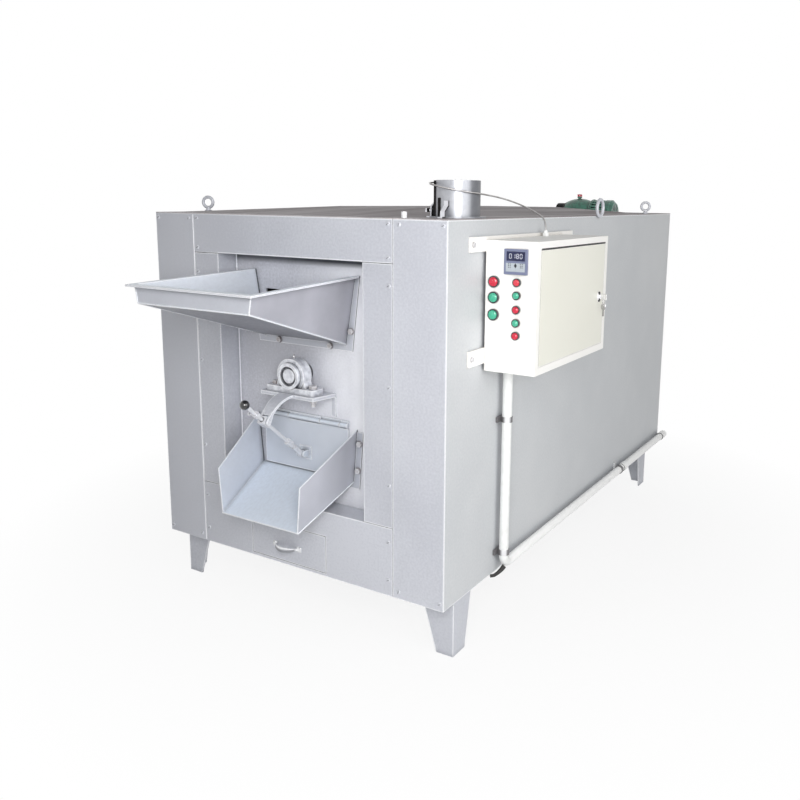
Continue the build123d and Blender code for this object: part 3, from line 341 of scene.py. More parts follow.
def piece(name, grids, finish, body):
    """A mesh from grids of points, in metres: each four neighbours make a face. Points that fall
    together are joined, which closes seams and poles, and edges over 35 degrees stay sharp."""
    points, faces, first = [], [], 0
    for grid in grids:
        rows, columns = grid.shape[:2]
        row, column = np.meshgrid(np.arange(rows - 1), np.arange(columns - 1), indexing="ij")
        corner = first + row * columns + column
        quads = np.stack([corner, corner + 1, corner + columns + 1, corner + columns], -1)
        faces.append(quads.reshape(-1, 4))
        points.append(grid.reshape(-1, 3))
        first += rows * columns
    mesh = bpy.data.meshes.new(name)
    mesh.from_pydata(np.concatenate(points).tolist(), [], np.concatenate(faces).tolist())
    shell = bmesh.new()
    shell.from_mesh(mesh)
    bmesh.ops.remove_doubles(shell, verts=shell.verts, dist=1e-7)
    bmesh.ops.recalc_face_normals(shell, faces=shell.faces)
    shell.to_mesh(mesh)
    shell.free()
    mesh.shade_smooth()
    mesh.set_sharp_from_angle(angle=math.radians(35))
    mesh.materials.append(finish)
    made = bpy.data.objects.new(name, mesh)
    bpy.context.scene.collection.objects.link(made)
    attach(made, body)
    return made


bearing_at = (-1.072, 1.165)
shaft_height, shelf_height, plate_face = 0.854, 0.7968, -1.015
casting = cast("painted_casting", linear(238, 240, 245), linear(200, 202, 209), linear(252, 252, 254),
               linear(58, 60, 68), metallic=0.35)
bright_steel = turned("turned_steel", linear(196, 196, 198), linear(150, 148, 146))
dress(casting, "bearing_housings", "bearing_inserts", "stub_shafts")
dress(casing_paint, "bearing_shelves", "latch_arm")
nipple = [(0, 0), (0, 4.5), (4, 4.5), (4, 3.0), (7, 3.0), (8.5, 2.2), (10, 3.2), (12.5, 2.4), (13.5, 0)]
housing_top = shaft_height + 0.0565
nipples = [lathe((0, y, housing_top), (0, 0, 1), nipple, 20) for y in bearing_at]
piece("grease_nipples", nipples, bright_steel, "base")
shelf_half, web_x, web_foot, web_head = 0.128, 0.13, 0.72, 0.7848
shelf_welds = [weld((-shelf_half, plate_face, shelf_height), (shelf_half, plate_face, shelf_height))]
for side in (-1, 1):
    foot, head = (side * web_x, plate_face, web_foot), (side * web_x, plate_face, web_head)
    shelf_welds.append(weld(foot, head, radius=0.0018, up=(1, 0, 0)))
piece("shelf_welds", shelf_welds, casing_paint, "base")
# The filler is painted near white, as painted highlights along the seams and the header's edge.
seam_highlight_filler = sprayed("filler_highlight", linear(250, 251, 254), linear(240, 241, 246), silver_highlight,
                 linear(206, 208, 214), metallic=0.0, rough=(0.4, 0.5), width=0.0, speckle=0.2)
front_face, seam_radius = -1.1, 0.0021
corner_seam = [(-0.4165, front_face + 0.0005, z) for z in (0.1925, 0.1935, 1.3690, 1.3700)]
recess_seam = [(-0.3015, plate_face - 0.0008, z) for z in (0.4200, 0.4210, 1.2390, 1.2400)]
header_edge = [(x, front_face + 0.0008, 1.2448) for x in (-0.3030, -0.3020, 0.3020, 0.3030)]
seam_beads = []
for line in (corner_seam, recess_seam, header_edge):
    seam_beads.append(bead(line, [0, seam_radius, seam_radius, 0], (0, 1, 0), 12))
piece("seam_beads", seam_beads, seam_highlight_filler, "base")

# Discharge door and pull rod
# A plate that hangs from a long hinge over the opening, with a rod from its lug to a black ball.
# The rod slides through a block that swivels at the end of the arm, and a collar stops it.


def sky_lit_tray(name, colour, shade, sky_lit, edge_highlight, painted_shade, seam):
    """Tray paint: sprayed paint, painted lighter and bluer as sky light on the faces that look up, broken
    by scuffs, and darker as shade on those that look down, with painted shade of an open seam where the
    upright walls come within 6 mm of the front plate."""
    material, tree, surface, place = start_finish(name, Metallic=0.1)
    clouds = grain(tree, place, 5.0, detail=4.0)
    scuffs = grain(tree, place, 120.0, detail=4.0, stretch=(1, 0.5, 0.8))
    outward = add(tree, "ShaderNodeTexCoord").outputs["Normal"]
    _, ahead, rise = axes(tree, outward)
    depth = axes(tree, place)[1]
    paint = between(tree, spread(tree, clouds, 0.35, 0.65, 0, 1), shade, colour)
    scuffed = spread(tree, scuffs, 0.3, 0.7, 0.85, 1.0)
    painted_light = reckon(tree, "MULTIPLY", spread(tree, rise, -0.15, 0.35, 0, 1), scuffed)
    paint = between(tree, painted_light, paint, sky_lit)
    paint = between(tree, spread(tree, rise, -0.2, -0.6, 0, 0.45), paint, painted_shade)
    paint = edge_light_and_corner_shade(tree, paint, edge_highlight, painted_shade, width=0.006)
    # Painted shade of the open seam at the front plate.
    seam_shade = spread(tree, depth, plate_face - 0.0065, plate_face - 0.004, 0, seam)
    upright = spread(tree, reckon(tree, "ABSOLUTE", rise), 0.5, 0.8, 1.0, 0.25)
    sideways = spread(tree, reckon(tree, "ABSOLUTE", ahead), 0.5, 0.8, 1.0, 0.0)
    seam_shade = reckon(tree, "MULTIPLY", reckon(tree, "MULTIPLY", seam_shade, upright), sideways)
    feed(surface, "Base Color", between(tree, seam_shade, paint, linear(44, 46, 54)))
    feed(surface, "Roughness", spread(tree, scuffs, 0.3, 0.7, 0.34, 0.52))
    relief(tree, surface, scuffs, depth=0.00008, rounding=0.0012)
    return material


tray_painted_shade = linear(84, 88, 96)
tray_paint = sky_lit_tray("sky_lit_tray_paint", linear(180, 180, 188), linear(166, 166, 174),
                       linear(228, 237, 248), silver_highlight, tray_painted_shade, seam=0.9)
door_paint = sky_lit_tray("door_paint", linear(206, 210, 218), linear(190, 194, 203),
                       linear(222, 230, 240), silver_highlight, tray_painted_shade, seam=0.0)
dress(door_paint, "discharge_door", "door_hinge")
smooth_peel = 0.00001
rod_paint = sprayed("handled_paint", linear(230, 231, 235), linear(216, 217, 222), silver_highlight,
                    linear(52, 54, 60), metallic=0.3, rough=(0.28, 0.34), width=0.0, speckle=0.1,
                    peel_depth=smooth_peel)
dress(rod_paint, "pull_rod", "swivel_block")


def moulded(name, colour, shade, rough, coat=0.0):
    """Moulded plastic: a faintly uneven skin, finger marks in the gloss, and slightly faded patches."""
    material, tree, surface, place = start_finish(name, Coat_Weight=coat)
    marks = grain(tree, place, 45.0, detail=4.0)
    skin = grain(tree, place, 700.0, detail=2.0)
    plastic = between(tree, spread(tree, marks, 0.35, 0.7, 0, 1), colour, shade)
    feed(surface, "Base Color", plastic)
    feed(surface, "Roughness", spread(tree, marks, 0.3, 0.7, *rough))
    relief(tree, surface, skin, depth=0.00003, rounding=0.0008)
    return material


black_plastic_and_shade = moulded("black_moulding_and_shade", linear(14, 14, 16), linear(24, 24, 27), rough=(0.08, 0.16),
                        coat=1.0)
dress(black_plastic_and_shade, "ball_knob")

# Hopper and chute
# Trays folded from sheet, welded at the corners, with tongues bolted to the front plate.
# The welds run outside along the folds and have been painted over with the trays.
# The hopper's copy is painted lighter on its upward faces than the chute's, as painted sky light inside the
# hopper.
hopper_paint = sky_lit_tray("sky_lit_hopper_paint", linear(178, 178, 186), linear(164, 164, 172),
                         linear(240, 247, 255), silver_highlight, tray_painted_shade, seam=0.9)
dress(hopper_paint, "hopper")
dress(tray_paint, "chute")
hopper_nose, chute_nose, tray_root = plate_face - 0.480, plate_face - 0.241, plate_face - 0.004
hopper_half, hopper_low = 0.2218, 1.119
tray_welds = []
for side in (-1, 1):
    nose_high, nose_low = (side * 0.2305, hopper_nose, 1.168), (side * hopper_half, hopper_nose, hopper_low)
    tray_welds.append(weld(nose_high, nose_low, up=(1, 0, 0)))
    tray_welds.append(weld(nose_low, (side * 0.1755, tray_root, 0.966)))
    tray_welds.append(weld((side * 0.1625, chute_nose, 0.399), (side * 0.2020, tray_root, 0.507)))
tray_welds.append(weld((-hopper_half, hopper_nose, hopper_low), (hopper_half, hopper_nose, hopper_low)))
piece("tray_welds", tray_welds, tray_paint, "base")

# Drawer
# A sheet tray under the recess that catches skins and crumbs, with a pressed steel bow handle.
# The handle is fixed by one screw through each of its end plates.
dress(casing_paint, "drawer")
handle_steel = turned("pressed_handle", linear(250, 251, 253), linear(236, 237, 240), rough=(0.2, 0.3))
tree, surface, colour, place = over(handle_steel)
surface.inputs["Metallic"].default_value = 0.25
handle_x, handle_z, bow_half = -0.024, 0.2625, 0.059
leaf_middle, leaf_loss = 0.0096, 0.009
across, _, height = axes(tree, place)
off_middle = reckon(tree, "DIVIDE", reckon(tree, "SUBTRACT", across, handle_x), bow_half)
squared = reckon(tree, "MULTIPLY", off_middle, off_middle)
leaf = reckon(tree, "MULTIPLY_ADD", squared, -leaf_loss, leaf_middle)
rise = reckon(tree, "DIVIDE", reckon(tree, "SUBTRACT", height, handle_z), leaf)
on_bow = spread(tree, reckon(tree, "ABSOLUTE", off_middle), 0.72, 0.8, 1, 0)
# The bow is painted dark along its top and grey along its bottom, as painted shade; its end plates keep the
# plain colour.
painted_shading = between(tree, spread(tree, rise, 0.5, 0.75, 0, 1), colour, linear(92, 94, 100))
painted_shading = between(tree, spread(tree, rise, -0.15, -0.75, 0, 0.9), painted_shading, linear(122, 124, 130))
feed(surface, "Base Color", between(tree, on_bow, colour, painted_shading))
dress(handle_steel, "drawer_handle")
handle_screw = [(0, 0), (0, 3.2), (0.6, 3.2), (1.4, 2.4), (1.8, 0)]
handle_screws = []
for side in (-1, 1):
    screw_at = (handle_x + side * 0.0575, front_face - 0.002, handle_z)
    handle_screws.append(lathe(screw_at, (0, -1, 0), handle_screw, 20))
piece("handle_screws", handle_screws, bright_steel, "drawer")

# Chimney
# A short pipe of galvanised sheet on the lid, held by two joggled straps, one with a wing nut.
# The zinc shows faint pale crystals, and two ribs on its front left are painted black as the shade along
# the pipe's left edge.


def galvanised(name, colour, shade, painted_shade):
    """Zinc-coated sheet: crystals a centimetre or two across, each a little lighter or duller, with the
    faces turned to the right painted darker as shade.
    """
    material, tree, surface, place = start_finish(name, Metallic=0.4)
    crystals = add(tree, "ShaderNodeTexVoronoi", {"Vector": place, "Scale": 80.0}).outputs["Color"]
    tone = add(tree, "ShaderNodeSeparateColor", {0: crystals}).outputs[0]
    streaks = grain(tree, place, 90.0, detail=3.0, stretch=(1, 1, 0.05))
    outward = add(tree, "ShaderNodeTexCoord").outputs["Normal"]
    to_right = axes(tree, outward)[0]
    # Painted shade on the faces that turn to the right.
    shaded_right = spread(tree, to_right, 0.72, 0.92, 0, 0.75)
    zinc = between(tree, shaded_right, between(tree, tone, shade, colour), painted_shade)
    feed(surface, "Base Color", edge_light_and_corner_shade(tree, zinc, colour, painted_shade, width=0.002))
    feed(surface, "Roughness", spread(tree, tone, 0, 1, 0.34, 0.4))
    relief(tree, surface, streaks, depth=0.00003, rounding=0.001)
    return material


def side_shaded(name, pale, sideways_shade):
    """Strap steel whose faces turned to the side are painted black in patches, as shade, with pale cut
    edges.
    """
    material, tree, surface, place = start_finish(name, Specular_IOR_Level=0.08)
    outward = add(tree, "ShaderNodeTexCoord").outputs["Normal"]
    sideways = reckon(tree, "ABSOLUTE", axes(tree, outward)[0])
    mottling = grain(tree, place, 70.0, detail=4.0)
    patchy = spread(tree, mottling, 0.2, 0.5, 0.8, 1)
    black = reckon(tree, "MULTIPLY", spread(tree, sideways, 0.4, 0.6, 0, 1), patchy)
    feed(surface, "Base Color", between(tree, black, pale, sideways_shade))
    feed(surface, "Roughness", spread(tree, mottling, 0.3, 0.7, 0.7, 0.9))
    relief(tree, surface, mottling, depth=0.0002, rounding=0.001)
    return material


zinc = galvanised("zinc_sheet", linear(188, 190, 195), linear(178, 180, 186), linear(60, 62, 68))
dress(zinc, "chimney")
sideways_shade = side_shaded("side_shaded_strap", linear(222, 223, 228), linear(26, 24, 25))
dress(sideways_shade, "chimney_straps")
lid_height = 1.375
flue_x, flue_y, flue_radius = 0.507, -0.883, 0.0685


def rib(degrees, half_width, proud, top):
    """An upright rib on the pipe at a bearing: a flat-topped section, as wide as twice the half width in
    degrees, carried from just over the lid to its top and closed at both ends."""
    section = np.array([(0, -1.0), (0.85, -0.86), (1, 0), (0.85, 0.86), (0, 1.0), (0, -1.0)])
    foot, sunk = 0.0041, 0.0003
    rows = []
    for height, flat in ((foot, 0), (foot, 1), (top, 1), (top, 0)):
        bearing = np.radians(degrees + flat * half_width * section[:, 1])
        reach = flue_radius - sunk + proud * (flat * section[:, 0] + (1 - flat) * 0.5)
        x, y = flue_x + reach * np.cos(bearing), flue_y + reach * np.sin(bearing)
        rows.append(np.stack([x, y, np.full(len(section), lid_height + height)], -1))
    return np.array(rows)


ribs = [rib(211, 4.5, 0.0070, 0.1122), rib(245, 4.6, 0.0045, 0.0600)]
# The ribs are black, as painted shade.
rib_shade = side_shaded("rib_shade", linear(36, 34, 35), linear(24, 22, 23))
piece("chimney_seam", ribs, rib_shade, "base")

# Lifting eyes
# Forged eyebolts screwed into the top rails, and a ring of round bar welded to the right edge.
# They are painted with the casing.


def ring(centre, across, upright, radius, section, steps=48, sides=14):
    """A bar bent into a circle: a round section carried round a centre in the plane of two directions."""
    around = np.linspace(0, 2 * np.pi, steps + 1)[:, None, None]
    turn = np.linspace(0, 2 * np.pi, sides + 1)[None, :, None]
    across, upright = np.array(across, float), np.array(upright, float)
    outward = np.cos(around) * across + np.sin(around) * upright
    rise = section * np.sin(turn) * np.cross(across, upright)
    return np.array(centre, float) + (radius + section * np.cos(turn)) * outward + rise


eye_collar = [(0, 0), (0, 13), (4.5, 13), (6, 11.5), (7, 8), (16, 7.6), (16, 0)]
eye_height, eye_radius, eye_bar = 0.034, 0.019, 0.0058
eyes = []
for x, y, degrees in ((-0.575, -0.88, 20), (-0.575, 0.765, 20), (0.575, 0.765, 15)):
    across = (math.cos(math.radians(degrees)), math.sin(math.radians(degrees)), 0)
    eyes.append(ring((x, y, lid_height + eye_height), across, (0, 0, 1), eye_radius, eye_bar))
    eyes.append(lathe((x, y, lid_height), (0, 0, 1), eye_collar))
side_ring_at, side_radius, side_bar = (0.607, 0.075, lid_height + 0.029), 0.033, 0.0066
eyes.append(ring(side_ring_at, (0, 1, 0), (0, 0, 1), side_radius, side_bar))
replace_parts(piece("forged_eyes", eyes, casing_paint, "base"), "lifting_eyes")

# Control box
# A folded steel box on two straps, in white enamel, with a cream lid, a lock and its keys.
# The lid hangs on two pins inside the rim, with a dark trim above it, painted as the shade of the gap
# there, and pale foam round the rest.
box_front, box_face = -0.883, 0.781
white_enamel = sprayed("white_enamel", linear(250, 249, 246), linear(246, 244, 240), linear(254, 254, 254),
                       linear(150, 140, 132), metallic=0.0, rough=(0.5, 0.55), width=0.0, speckle=0.05,
                       peel_depth=smooth_peel)
cream_enamel = sprayed("cream_enamel", linear(232, 231, 220), linear(229, 228, 216), linear(250, 250, 246),
                       linear(150, 140, 128), metallic=0.0, rough=(0.28, 0.32), width=0.003, speckle=0.05,
                       peel_depth=smooth_peel)
dress(white_enamel, "box_shell", "box_straps")
dress(cream_enamel, "box_door")
dress(turned("plated_lock", linear(240, 240, 242), linear(216, 216, 220), rough=(0.2, 0.3)), "box_lock")
rubber_and_shade = moulded("black_rubber_and_shade", linear(28, 27, 27), linear(40, 38, 38), rough=(0.55, 0.7))
seal_x, seal_y, seal_z = box_face - 0.0014, (-0.859, -0.3238), (0.93275, 1.28625)
trim_z, trim_radius, foam_radius = seal_z[1] + 0.00215, 0.003, 0.00115
# The dark trim stands for the shade in the gap above the lid.
trim_line = [(seal_x, y, trim_z) for y in (-0.8595, -0.858, -0.325, -0.3235)]
gap_shade_trim = bead(trim_line, [0, trim_radius, trim_radius, 0], (1, 0, 0))
piece("lid_gap_shade", [gap_shade_trim], rubber_and_shade, "base")
below = [(seal_x, y, seal_z[0]) for y in seal_y]
behind = [(seal_x, seal_y[1], z) for z in seal_z]
before = [(seal_x, box_front + 0.0231, z) for z in seal_z]
share = np.array([0, 0.002, 0.998, 1])[:, None]
foam = []
for near, far in np.array([below, behind, before]):
    foam.append(bead(near + (far - near) * share, [0, foam_radius, foam_radius, 0], (1, 0, 0)))
piece("lid_foam", foam, white_enamel, "base")
lock_y, lock_z = -0.368, 1.102
plate_rim = [(0, 0), (0, 20), (0.5, 20), (0.8, 19.4), (0.8, 0)]
lock_plate = [lathe((box_face + 0.0002, lock_y, lock_z), (1, 0, 0), plate_rim, 40)]
piece("lock_plate", lock_plate, white_enamel, "lock")
# The keyholes are black discs, painted as the shade inside them.
lock_dot = [(0, 0), (0, 6.2), (3.6, 6.2), (4.2, 5.4), (4.2, 0)]
dots = []
for step in (0.0116, -0.0116):
    dots.append(lathe((box_face + 0.0006, lock_y - 0.0015, lock_z + step), (1, 0, 0), lock_dot, 24))
piece("key_holes", dots, rubber_and_shade, "lock")
key_x, key_z, ring_radius, flatness = box_face + 0.0195, lock_z - 0.0155, 0.011, 0.16
spare_key = [(0, 0), (0, 8), (3, 9.5), (12, 9.5), (17, 6.5), (19, 3.2), (40, 3.0), (43, 0)]
hanging = lathe((key_x, lock_y, key_z - ring_radius), (0, 0, -1), spare_key, 24)
hanging[..., 1] = lock_y + (hanging[..., 1] - lock_y) * flatness
keys = [ring((key_x, lock_y, key_z), (0, 1, 0), (0, 0, 1), ring_radius, 0.0009), hanging]
piece("key_ring", keys, bright_steel, "lock")

# Inside the control box
# Three contactors, a breaker and a terminal strip, moulded in plastic, screwed to a steel carrier plate.
# Each has a raised front and rows of plated clamping screws; the strip is black.


def slab(x, y, z):
    """A moulded block that stands out along +X between (low, high) pairs: a rectangle with rounded
    corners at its foot, made smaller all round at its face."""
    foot, face = x
    corner, drawn_in = 0.003, 0.002
    turn = np.linspace(0, 2 * np.pi, 41)
    levels = [(foot, 0, 0), (foot, 0, 1), (face - drawn_in, 0, 1), (face, drawn_in, 1), (face, 0, 0)]
    rows = []
    for depth, shrink, size in levels:
        row = [np.full(turn.size, depth)]
        for wave, (low, high) in ((np.cos(turn), y), (np.sin(turn), z)):
            half = (high - low) / 2 - shrink
            edge = np.sign(np.round(wave, 9)) * (half - corner) + corner * wave
            row.append((low + high) / 2 + edge * size)
        rows.append(np.stack(row, -1))
    return np.array(rows)


moulding = moulded("grey_moulding", linear(206, 205, 198), linear(192, 190, 183), rough=(0.35, 0.5))
tree, surface, colour, place = over(moulding)
strip_top, carrier_face = 1.05, 0.6132
depth, _, height = axes(tree, place)
colour = between(tree, reckon(tree, "LESS_THAN", height, strip_top), colour, linear(46, 46, 49))
colour = between(tree, reckon(tree, "LESS_THAN", depth, carrier_face), colour, linear(186, 188, 190))
feed(surface, "Base Color", colour)
dress(moulding, "box_contents")
contactor_face, breaker_face, strip_face = 0.683, 0.678, 0.653
contactor_y, breaker_y = (-0.712, -0.632, -0.552), -0.44
fronts = []
for y in contactor_y:
    fronts.append(slab((contactor_face - 0.0005, 0.700), (y - 0.019, y + 0.019), (1.148, 1.192)))
fronts.append(slab((breaker_face - 0.0005, 0.688), (breaker_y - 0.028, breaker_y + 0.028), (1.158, 1.192)))
fronts.append(slab((0.6875, 0.698), (breaker_y - 0.012, breaker_y + 0.012), (1.166, 1.178)))
piece("contactor_fronts", fronts, black_plastic_and_shade, "base")
clamp_screw = [(0, 0), (0, 4.2), (1.2, 4.0), (2.0, 3.0), (2.2, 0)]
clamp_places = []
for y in contactor_y:
    for step in (-0.018, -0.006, 0.006, 0.018):
        clamp_places += [(contactor_face, y + step, z) for z in (1.139, 1.201)]
for step in (-0.026, 0, 0.026):
    clamp_places += [(breaker_face, breaker_y + step, z) for z in (1.140, 1.209)]
first_clamp, clamp_pitch = -0.740, 0.031
for number in range(11):
    clamp_places += [(strip_face, first_clamp + clamp_pitch * number, z) for z in (0.989, 1.011)]
clamp_screws = [lathe(at, (1, 0, 0), clamp_screw, 16) for at in clamp_places]
piece("clamp_screws", clamp_screws, bright_steel, "base")

# Controls
# A panel-mount temperature controller, a pilot lamp and seven push buttons in dark bezels.
# The controller's window is dark blue glass with lit numerals, above a pad with a dark mark.
controller_x = 0.711


def controller_skin(name, case, glass, pad, mark):
    """The controller's face: one case colour, with the glass, the pad and a diamond marked off by
    their distances along and across the face."""
    material, tree, surface, place = start_finish(name)
    across, _, height = axes(tree, place)
    off_x = reckon(tree, "ABSOLUTE", reckon(tree, "SUBTRACT", across, controller_x))

    def off_height(middle):
        """How far above or below a height on the face."""
        return reckon(tree, "ABSOLUTE", reckon(tree, "SUBTRACT", height, middle))

    def inside(half_x, middle_z, half_z):
        """1 within a rectangle of the face, 0 outside."""
        beside = reckon(tree, "LESS_THAN", off_x, half_x)
        return reckon(tree, "MULTIPLY", beside, reckon(tree, "LESS_THAN", off_height(middle_z), half_z))

    mark_z, pad_z, window_z = 1.2385, 1.2335, 1.2665
    to_mark = reckon(tree, "MULTIPLY_ADD", off_x, 1.6, off_height(mark_z))
    diamond = reckon(tree, "LESS_THAN", to_mark, 0.0078)
    marks = grain(tree, place, 45.0, detail=4.0)
    colour = between(tree, inside(0.0315, pad_z, 0.0128), case, pad)
    colour = between(tree, diamond, colour, mark)
    window = inside(0.0305, window_z, 0.0138)
    colour = between(tree, window, colour, glass)
    feed(surface, "Base Color", colour)
    gloss = reckon(tree, "MULTIPLY_ADD", window, -0.28, spread(tree, marks, 0.3, 0.7, 0.34, 0.44))
    feed(surface, "Roughness", gloss)
    relief(tree, surface, marks, depth=0.00003, rounding=0.0012)
    return material


dress(controller_skin("controller_face", linear(116, 122, 149), linear(30, 35, 70), linear(178, 185, 192),
                      linear(34, 36, 44)), "temperature_controller")
lit, lit_tree = blank("lit_numerals")
glow_place = add(lit_tree, "ShaderNodeTexCoord").outputs["Object"]
flicker = spread(lit_tree, grain(lit_tree, glow_place, 900.0), 0.3, 0.7, 0.75, 0.95)
lit_colour = between(lit_tree, flicker, linear(150, 160, 220), linear(246, 248, 255))
lamps_on = add(lit_tree, "ShaderNodeEmission", {"Color": lit_colour, "Strength": 0.95}).outputs[0]
add(lit_tree, "ShaderNodeOutputMaterial", {"Surface": lamps_on})
strokes = {"top": ((-1, 1), (1, 1)), "middle": ((-1, 0), (1, 0)), "bottom": ((-1, -1), (1, -1)),
           "left high": ((-1, 0), (-1, 1)), "left low": ((-1, -1), (-1, 0)),
           "right high": ((1, 0), (1, 1)), "right low": ((1, -1), (1, 0))}
left_out = {0: {"middle"}, 1: {"top", "middle", "bottom", "left high", "left low"}, 8: set()}
first_numeral, numeral_pitch = np.array((0.6935, -0.8899, 1.2668)), np.array((0.0117, 0, 0))
numeral_half, stroke_radius = np.array((0.0034, 0, 0.0066)), 0.0009
share = np.array([0.06, 0.16, 0.84, 0.94])[:, None]
numerals = []
for number, digit in enumerate((0, 1, 8, 0)):
    middle = first_numeral + numeral_pitch * number
    for stroke in sorted(set(strokes) - left_out[digit]):
        start, end = (middle + numeral_half * (x, 0, z) for x, z in strokes[stroke])
        path = start + (end - start) * share
        numerals.append(bead(path, [0, stroke_radius, stroke_radius, 0], (0, 1, 0)))
piece("lit_numerals", numerals, lit, "base")
pad_dot = [(0, 0), (0, 1.5), (0.5, 1.4), (0.7, 0)]
pad_face = box_front - 0.008
pad_dots = [lathe((controller_x + side * x, pad_face, z), (0, -1, 0), pad_dot, 16)
            for side in (-1, 1) for x in (0.017, 0.0225) for z in (1.2335, 1.2385, 1.2435)]
piece("keypad_dots", pad_dots, black_plastic_and_shade, "base")
bezel = moulded("dark_bezel", linear(54, 58, 62), linear(42, 45, 48), rough=(0.14, 0.24), coat=0.4)
dress(bezel, "button_bezels")
red_cap = moulded("red_cap", linear(214, 30, 62), linear(196, 22, 50), rough=(0.1, 0.2), coat=0.5)
green_cap = moulded("green_cap", linear(66, 178, 144), linear(48, 162, 126), rough=(0.1, 0.2), coat=0.5)
left, right = 0.638, 0.715
button_bodies = {
    "stop": (left, 1.187, 14, red_cap), "forward": (left, 1.139, 14, green_cap),
    "reverse": (left, 1.086, 14, green_cap), "heat_one_on": (right, 1.149, 10, green_cap),
    "heat_one_off": (right, 1.106, 10, red_cap), "heat_two_on": (right, 1.066, 10, green_cap),
    "heat_two_off": (right, 1.027, 10, red_cap)}
for name, (x, z, wide, finish) in button_bodies.items():
    cap = [(-29.5, 0), (-29.5, 6), (0, 6), (0, wide), (2.6, wide), (3.6, wide * 0.97), (4.6, wide * 0.88),
           (5.6, wide * 0.74), (6.4, wide * 0.57), (7.0, wide * 0.38), (7.3, wide * 0.19), (7.4, 0)]
    dome = lathe((x, box_front - 0.007, z), (0, -1, 0), cap, 40)
    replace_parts(piece(f"{name}_cap", [dome], finish, name), f"{name}_button")
lens = [(-23, 0), (-23, 6.3), (0, 6.3), (0, 10), (5, 10), (6.6, 9.2), (7.8, 7), (8.4, 4), (8.6, 0)]
pilot = [lathe((right, box_front - 0.003, 1.188), (0, -1, 0), lens, 40)]
red_lens = moulded("red_lens", linear(226, 52, 72), linear(206, 34, 54), rough=(0.06, 0.14), coat=0.7)
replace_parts(piece("pilot_lens", pilot, red_lens, "base"), "pilot_lamp")

# Conduit and lead
# White plastic conduit held by steel clips, with sleeves, black joint rings and a rubber tail at its elbow.
# A stiff sheathed lead runs from the box to the chimney.
# The lead leaves a gland on the box, rises in an arc and ends in a ferrule on the chimney's left strap.
white_plastic = moulded("white_conduit", linear(238, 239, 238), linear(229, 230, 228), rough=(0.3, 0.42))
tree, surface, colour, place = over(white_plastic)
# The horizontal run is painted whiter, as painted light.
lit_run = spread(tree, axes(tree, place)[1], -0.745, -0.70, 0, 1)
feed(surface, "Base Color", between(tree, lit_run, colour, linear(254, 254, 253)))
dress(white_plastic, "conduit")
conduit_x, clip_y, run_height, pipe = 0.626, -0.750, 0.216, 16.0
fittings = moulded("conduit_fittings", linear(238, 239, 238), linear(229, 230, 228), rough=(0.26, 0.36))
tree, surface, colour, place = over(fittings)
out, along, height = axes(tree, place)
clips = reckon(tree, "LESS_THAN", height, 1.2)
way_x, way_y = 0.87, 0.5
across = reckon(tree, "ADD", reckon(tree, "MULTIPLY", out, way_x), reckon(tree, "MULTIPLY", along, way_y))
clip_middle = way_x * conduit_x + way_y * clip_y
off_middle = reckon(tree, "ABSOLUTE", reckon(tree, "SUBTRACT", across, clip_middle))
# The clip bands are painted pale down the middle and dark at their sides, as a painted reflection on round
# metal; the rear clip's foot is painted light.
band_side_shade = spread(tree, off_middle, 0.006, 0.013, 0.0, 1.0)
steel = between(tree, band_side_shade, linear(222, 222, 223), linear(104, 102, 104))
colour = between(tree, clips, colour, steel)
rear_clip, at_wall = reckon(tree, "GREATER_THAN", along, 0.0), reckon(tree, "LESS_THAN", out, 0.609)
lit_rear_foot = reckon(tree, "MULTIPLY", rear_clip, at_wall)
colour = between(tree, lit_rear_foot, colour, linear(208, 210, 211))
# The far end is painted white, as painted light.
colour = between(tree, reckon(tree, "GREATER_THAN", along, 1.1), colour, linear(254, 254, 253))
feed(surface, "Base Color", colour)
dress(fittings, "cable_fittings")
sleeve = [(0, pipe), (0, pipe + 2.2), (46, pipe + 2.2), (46, pipe), (0, pipe)]
sleeves = [lathe((conduit_x, y, run_height), (0, 1, 0), sleeve, 36) for y in (0.452, 1.058)]
piece("conduit_sleeves", sleeves, white_plastic, "base")
gaps = []
for y, thick in ((0.451, 0.0011), (0.499, 0.0011), (1.056, 0.0024)):
    gaps.append(ring((conduit_x, y, run_height), (1, 0, 0), (0, 0, 1), 0.0166, thick, 36, 8))
piece("conduit_joints", gaps, rubber_and_shade, "base")
tail_route = [
    (0.626, -0.742, 0.206), (0.6255, -0.743, 0.2055), (0.621, -0.754, 0.196), (0.614, -0.766, 0.187),
    (0.606, -0.777, 0.1805), (0.596, -0.786, 0.1795), (0.5955, -0.7864, 0.1795)]
tail_radii = [0, 0.0085, 0.0075, 0.0062, 0.0056, 0.0056, 0]
piece("rubber_tail", [bead(tail_route, tail_radii, sides=14)], rubber_and_shade, "base")

lead_route = [
    (0.624, -0.485, 1.330), (0.624, -0.485, 1.366), (0.612, -0.530, 1.388), (0.600, -0.615, 1.413),
    (0.592, -0.745, 1.436), (0.588, -0.880, 1.448), (0.560, -0.950, 1.455), (0.490, -0.978, 1.468),
    (0.4365, -0.958, 1.481), (0.4365, -0.8955, 1.481)]
lead_radius = 0.0025
lead_curve = bpy.data.curves.new("thermocouple_sheath", "CURVE")
lead_curve.dimensions = "3D"
lead_curve.bevel_depth = lead_radius
lead_curve.bevel_resolution = 4
lead_curve.resolution_u = 12
lead_curve.use_fill_caps = True
lead_line = lead_curve.splines.new("NURBS")
lead_line.points.add(len(lead_route) - 1)
for point, at in zip(lead_line.points, lead_route):
    point.co = (*at, 1.0)
lead_line.order_u = 3
lead_line.use_endpoint_u = True
lead = bpy.data.objects.new("thermocouple_sheath", lead_curve)
bpy.context.scene.collection.objects.link(lead)
sheath = turned("lead_sheath", linear(196, 194, 194), linear(156, 153, 152), rough=(0.28, 0.42),
                rings=1500.0)
lead_curve.materials.append(sheath)
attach(lead, "base")
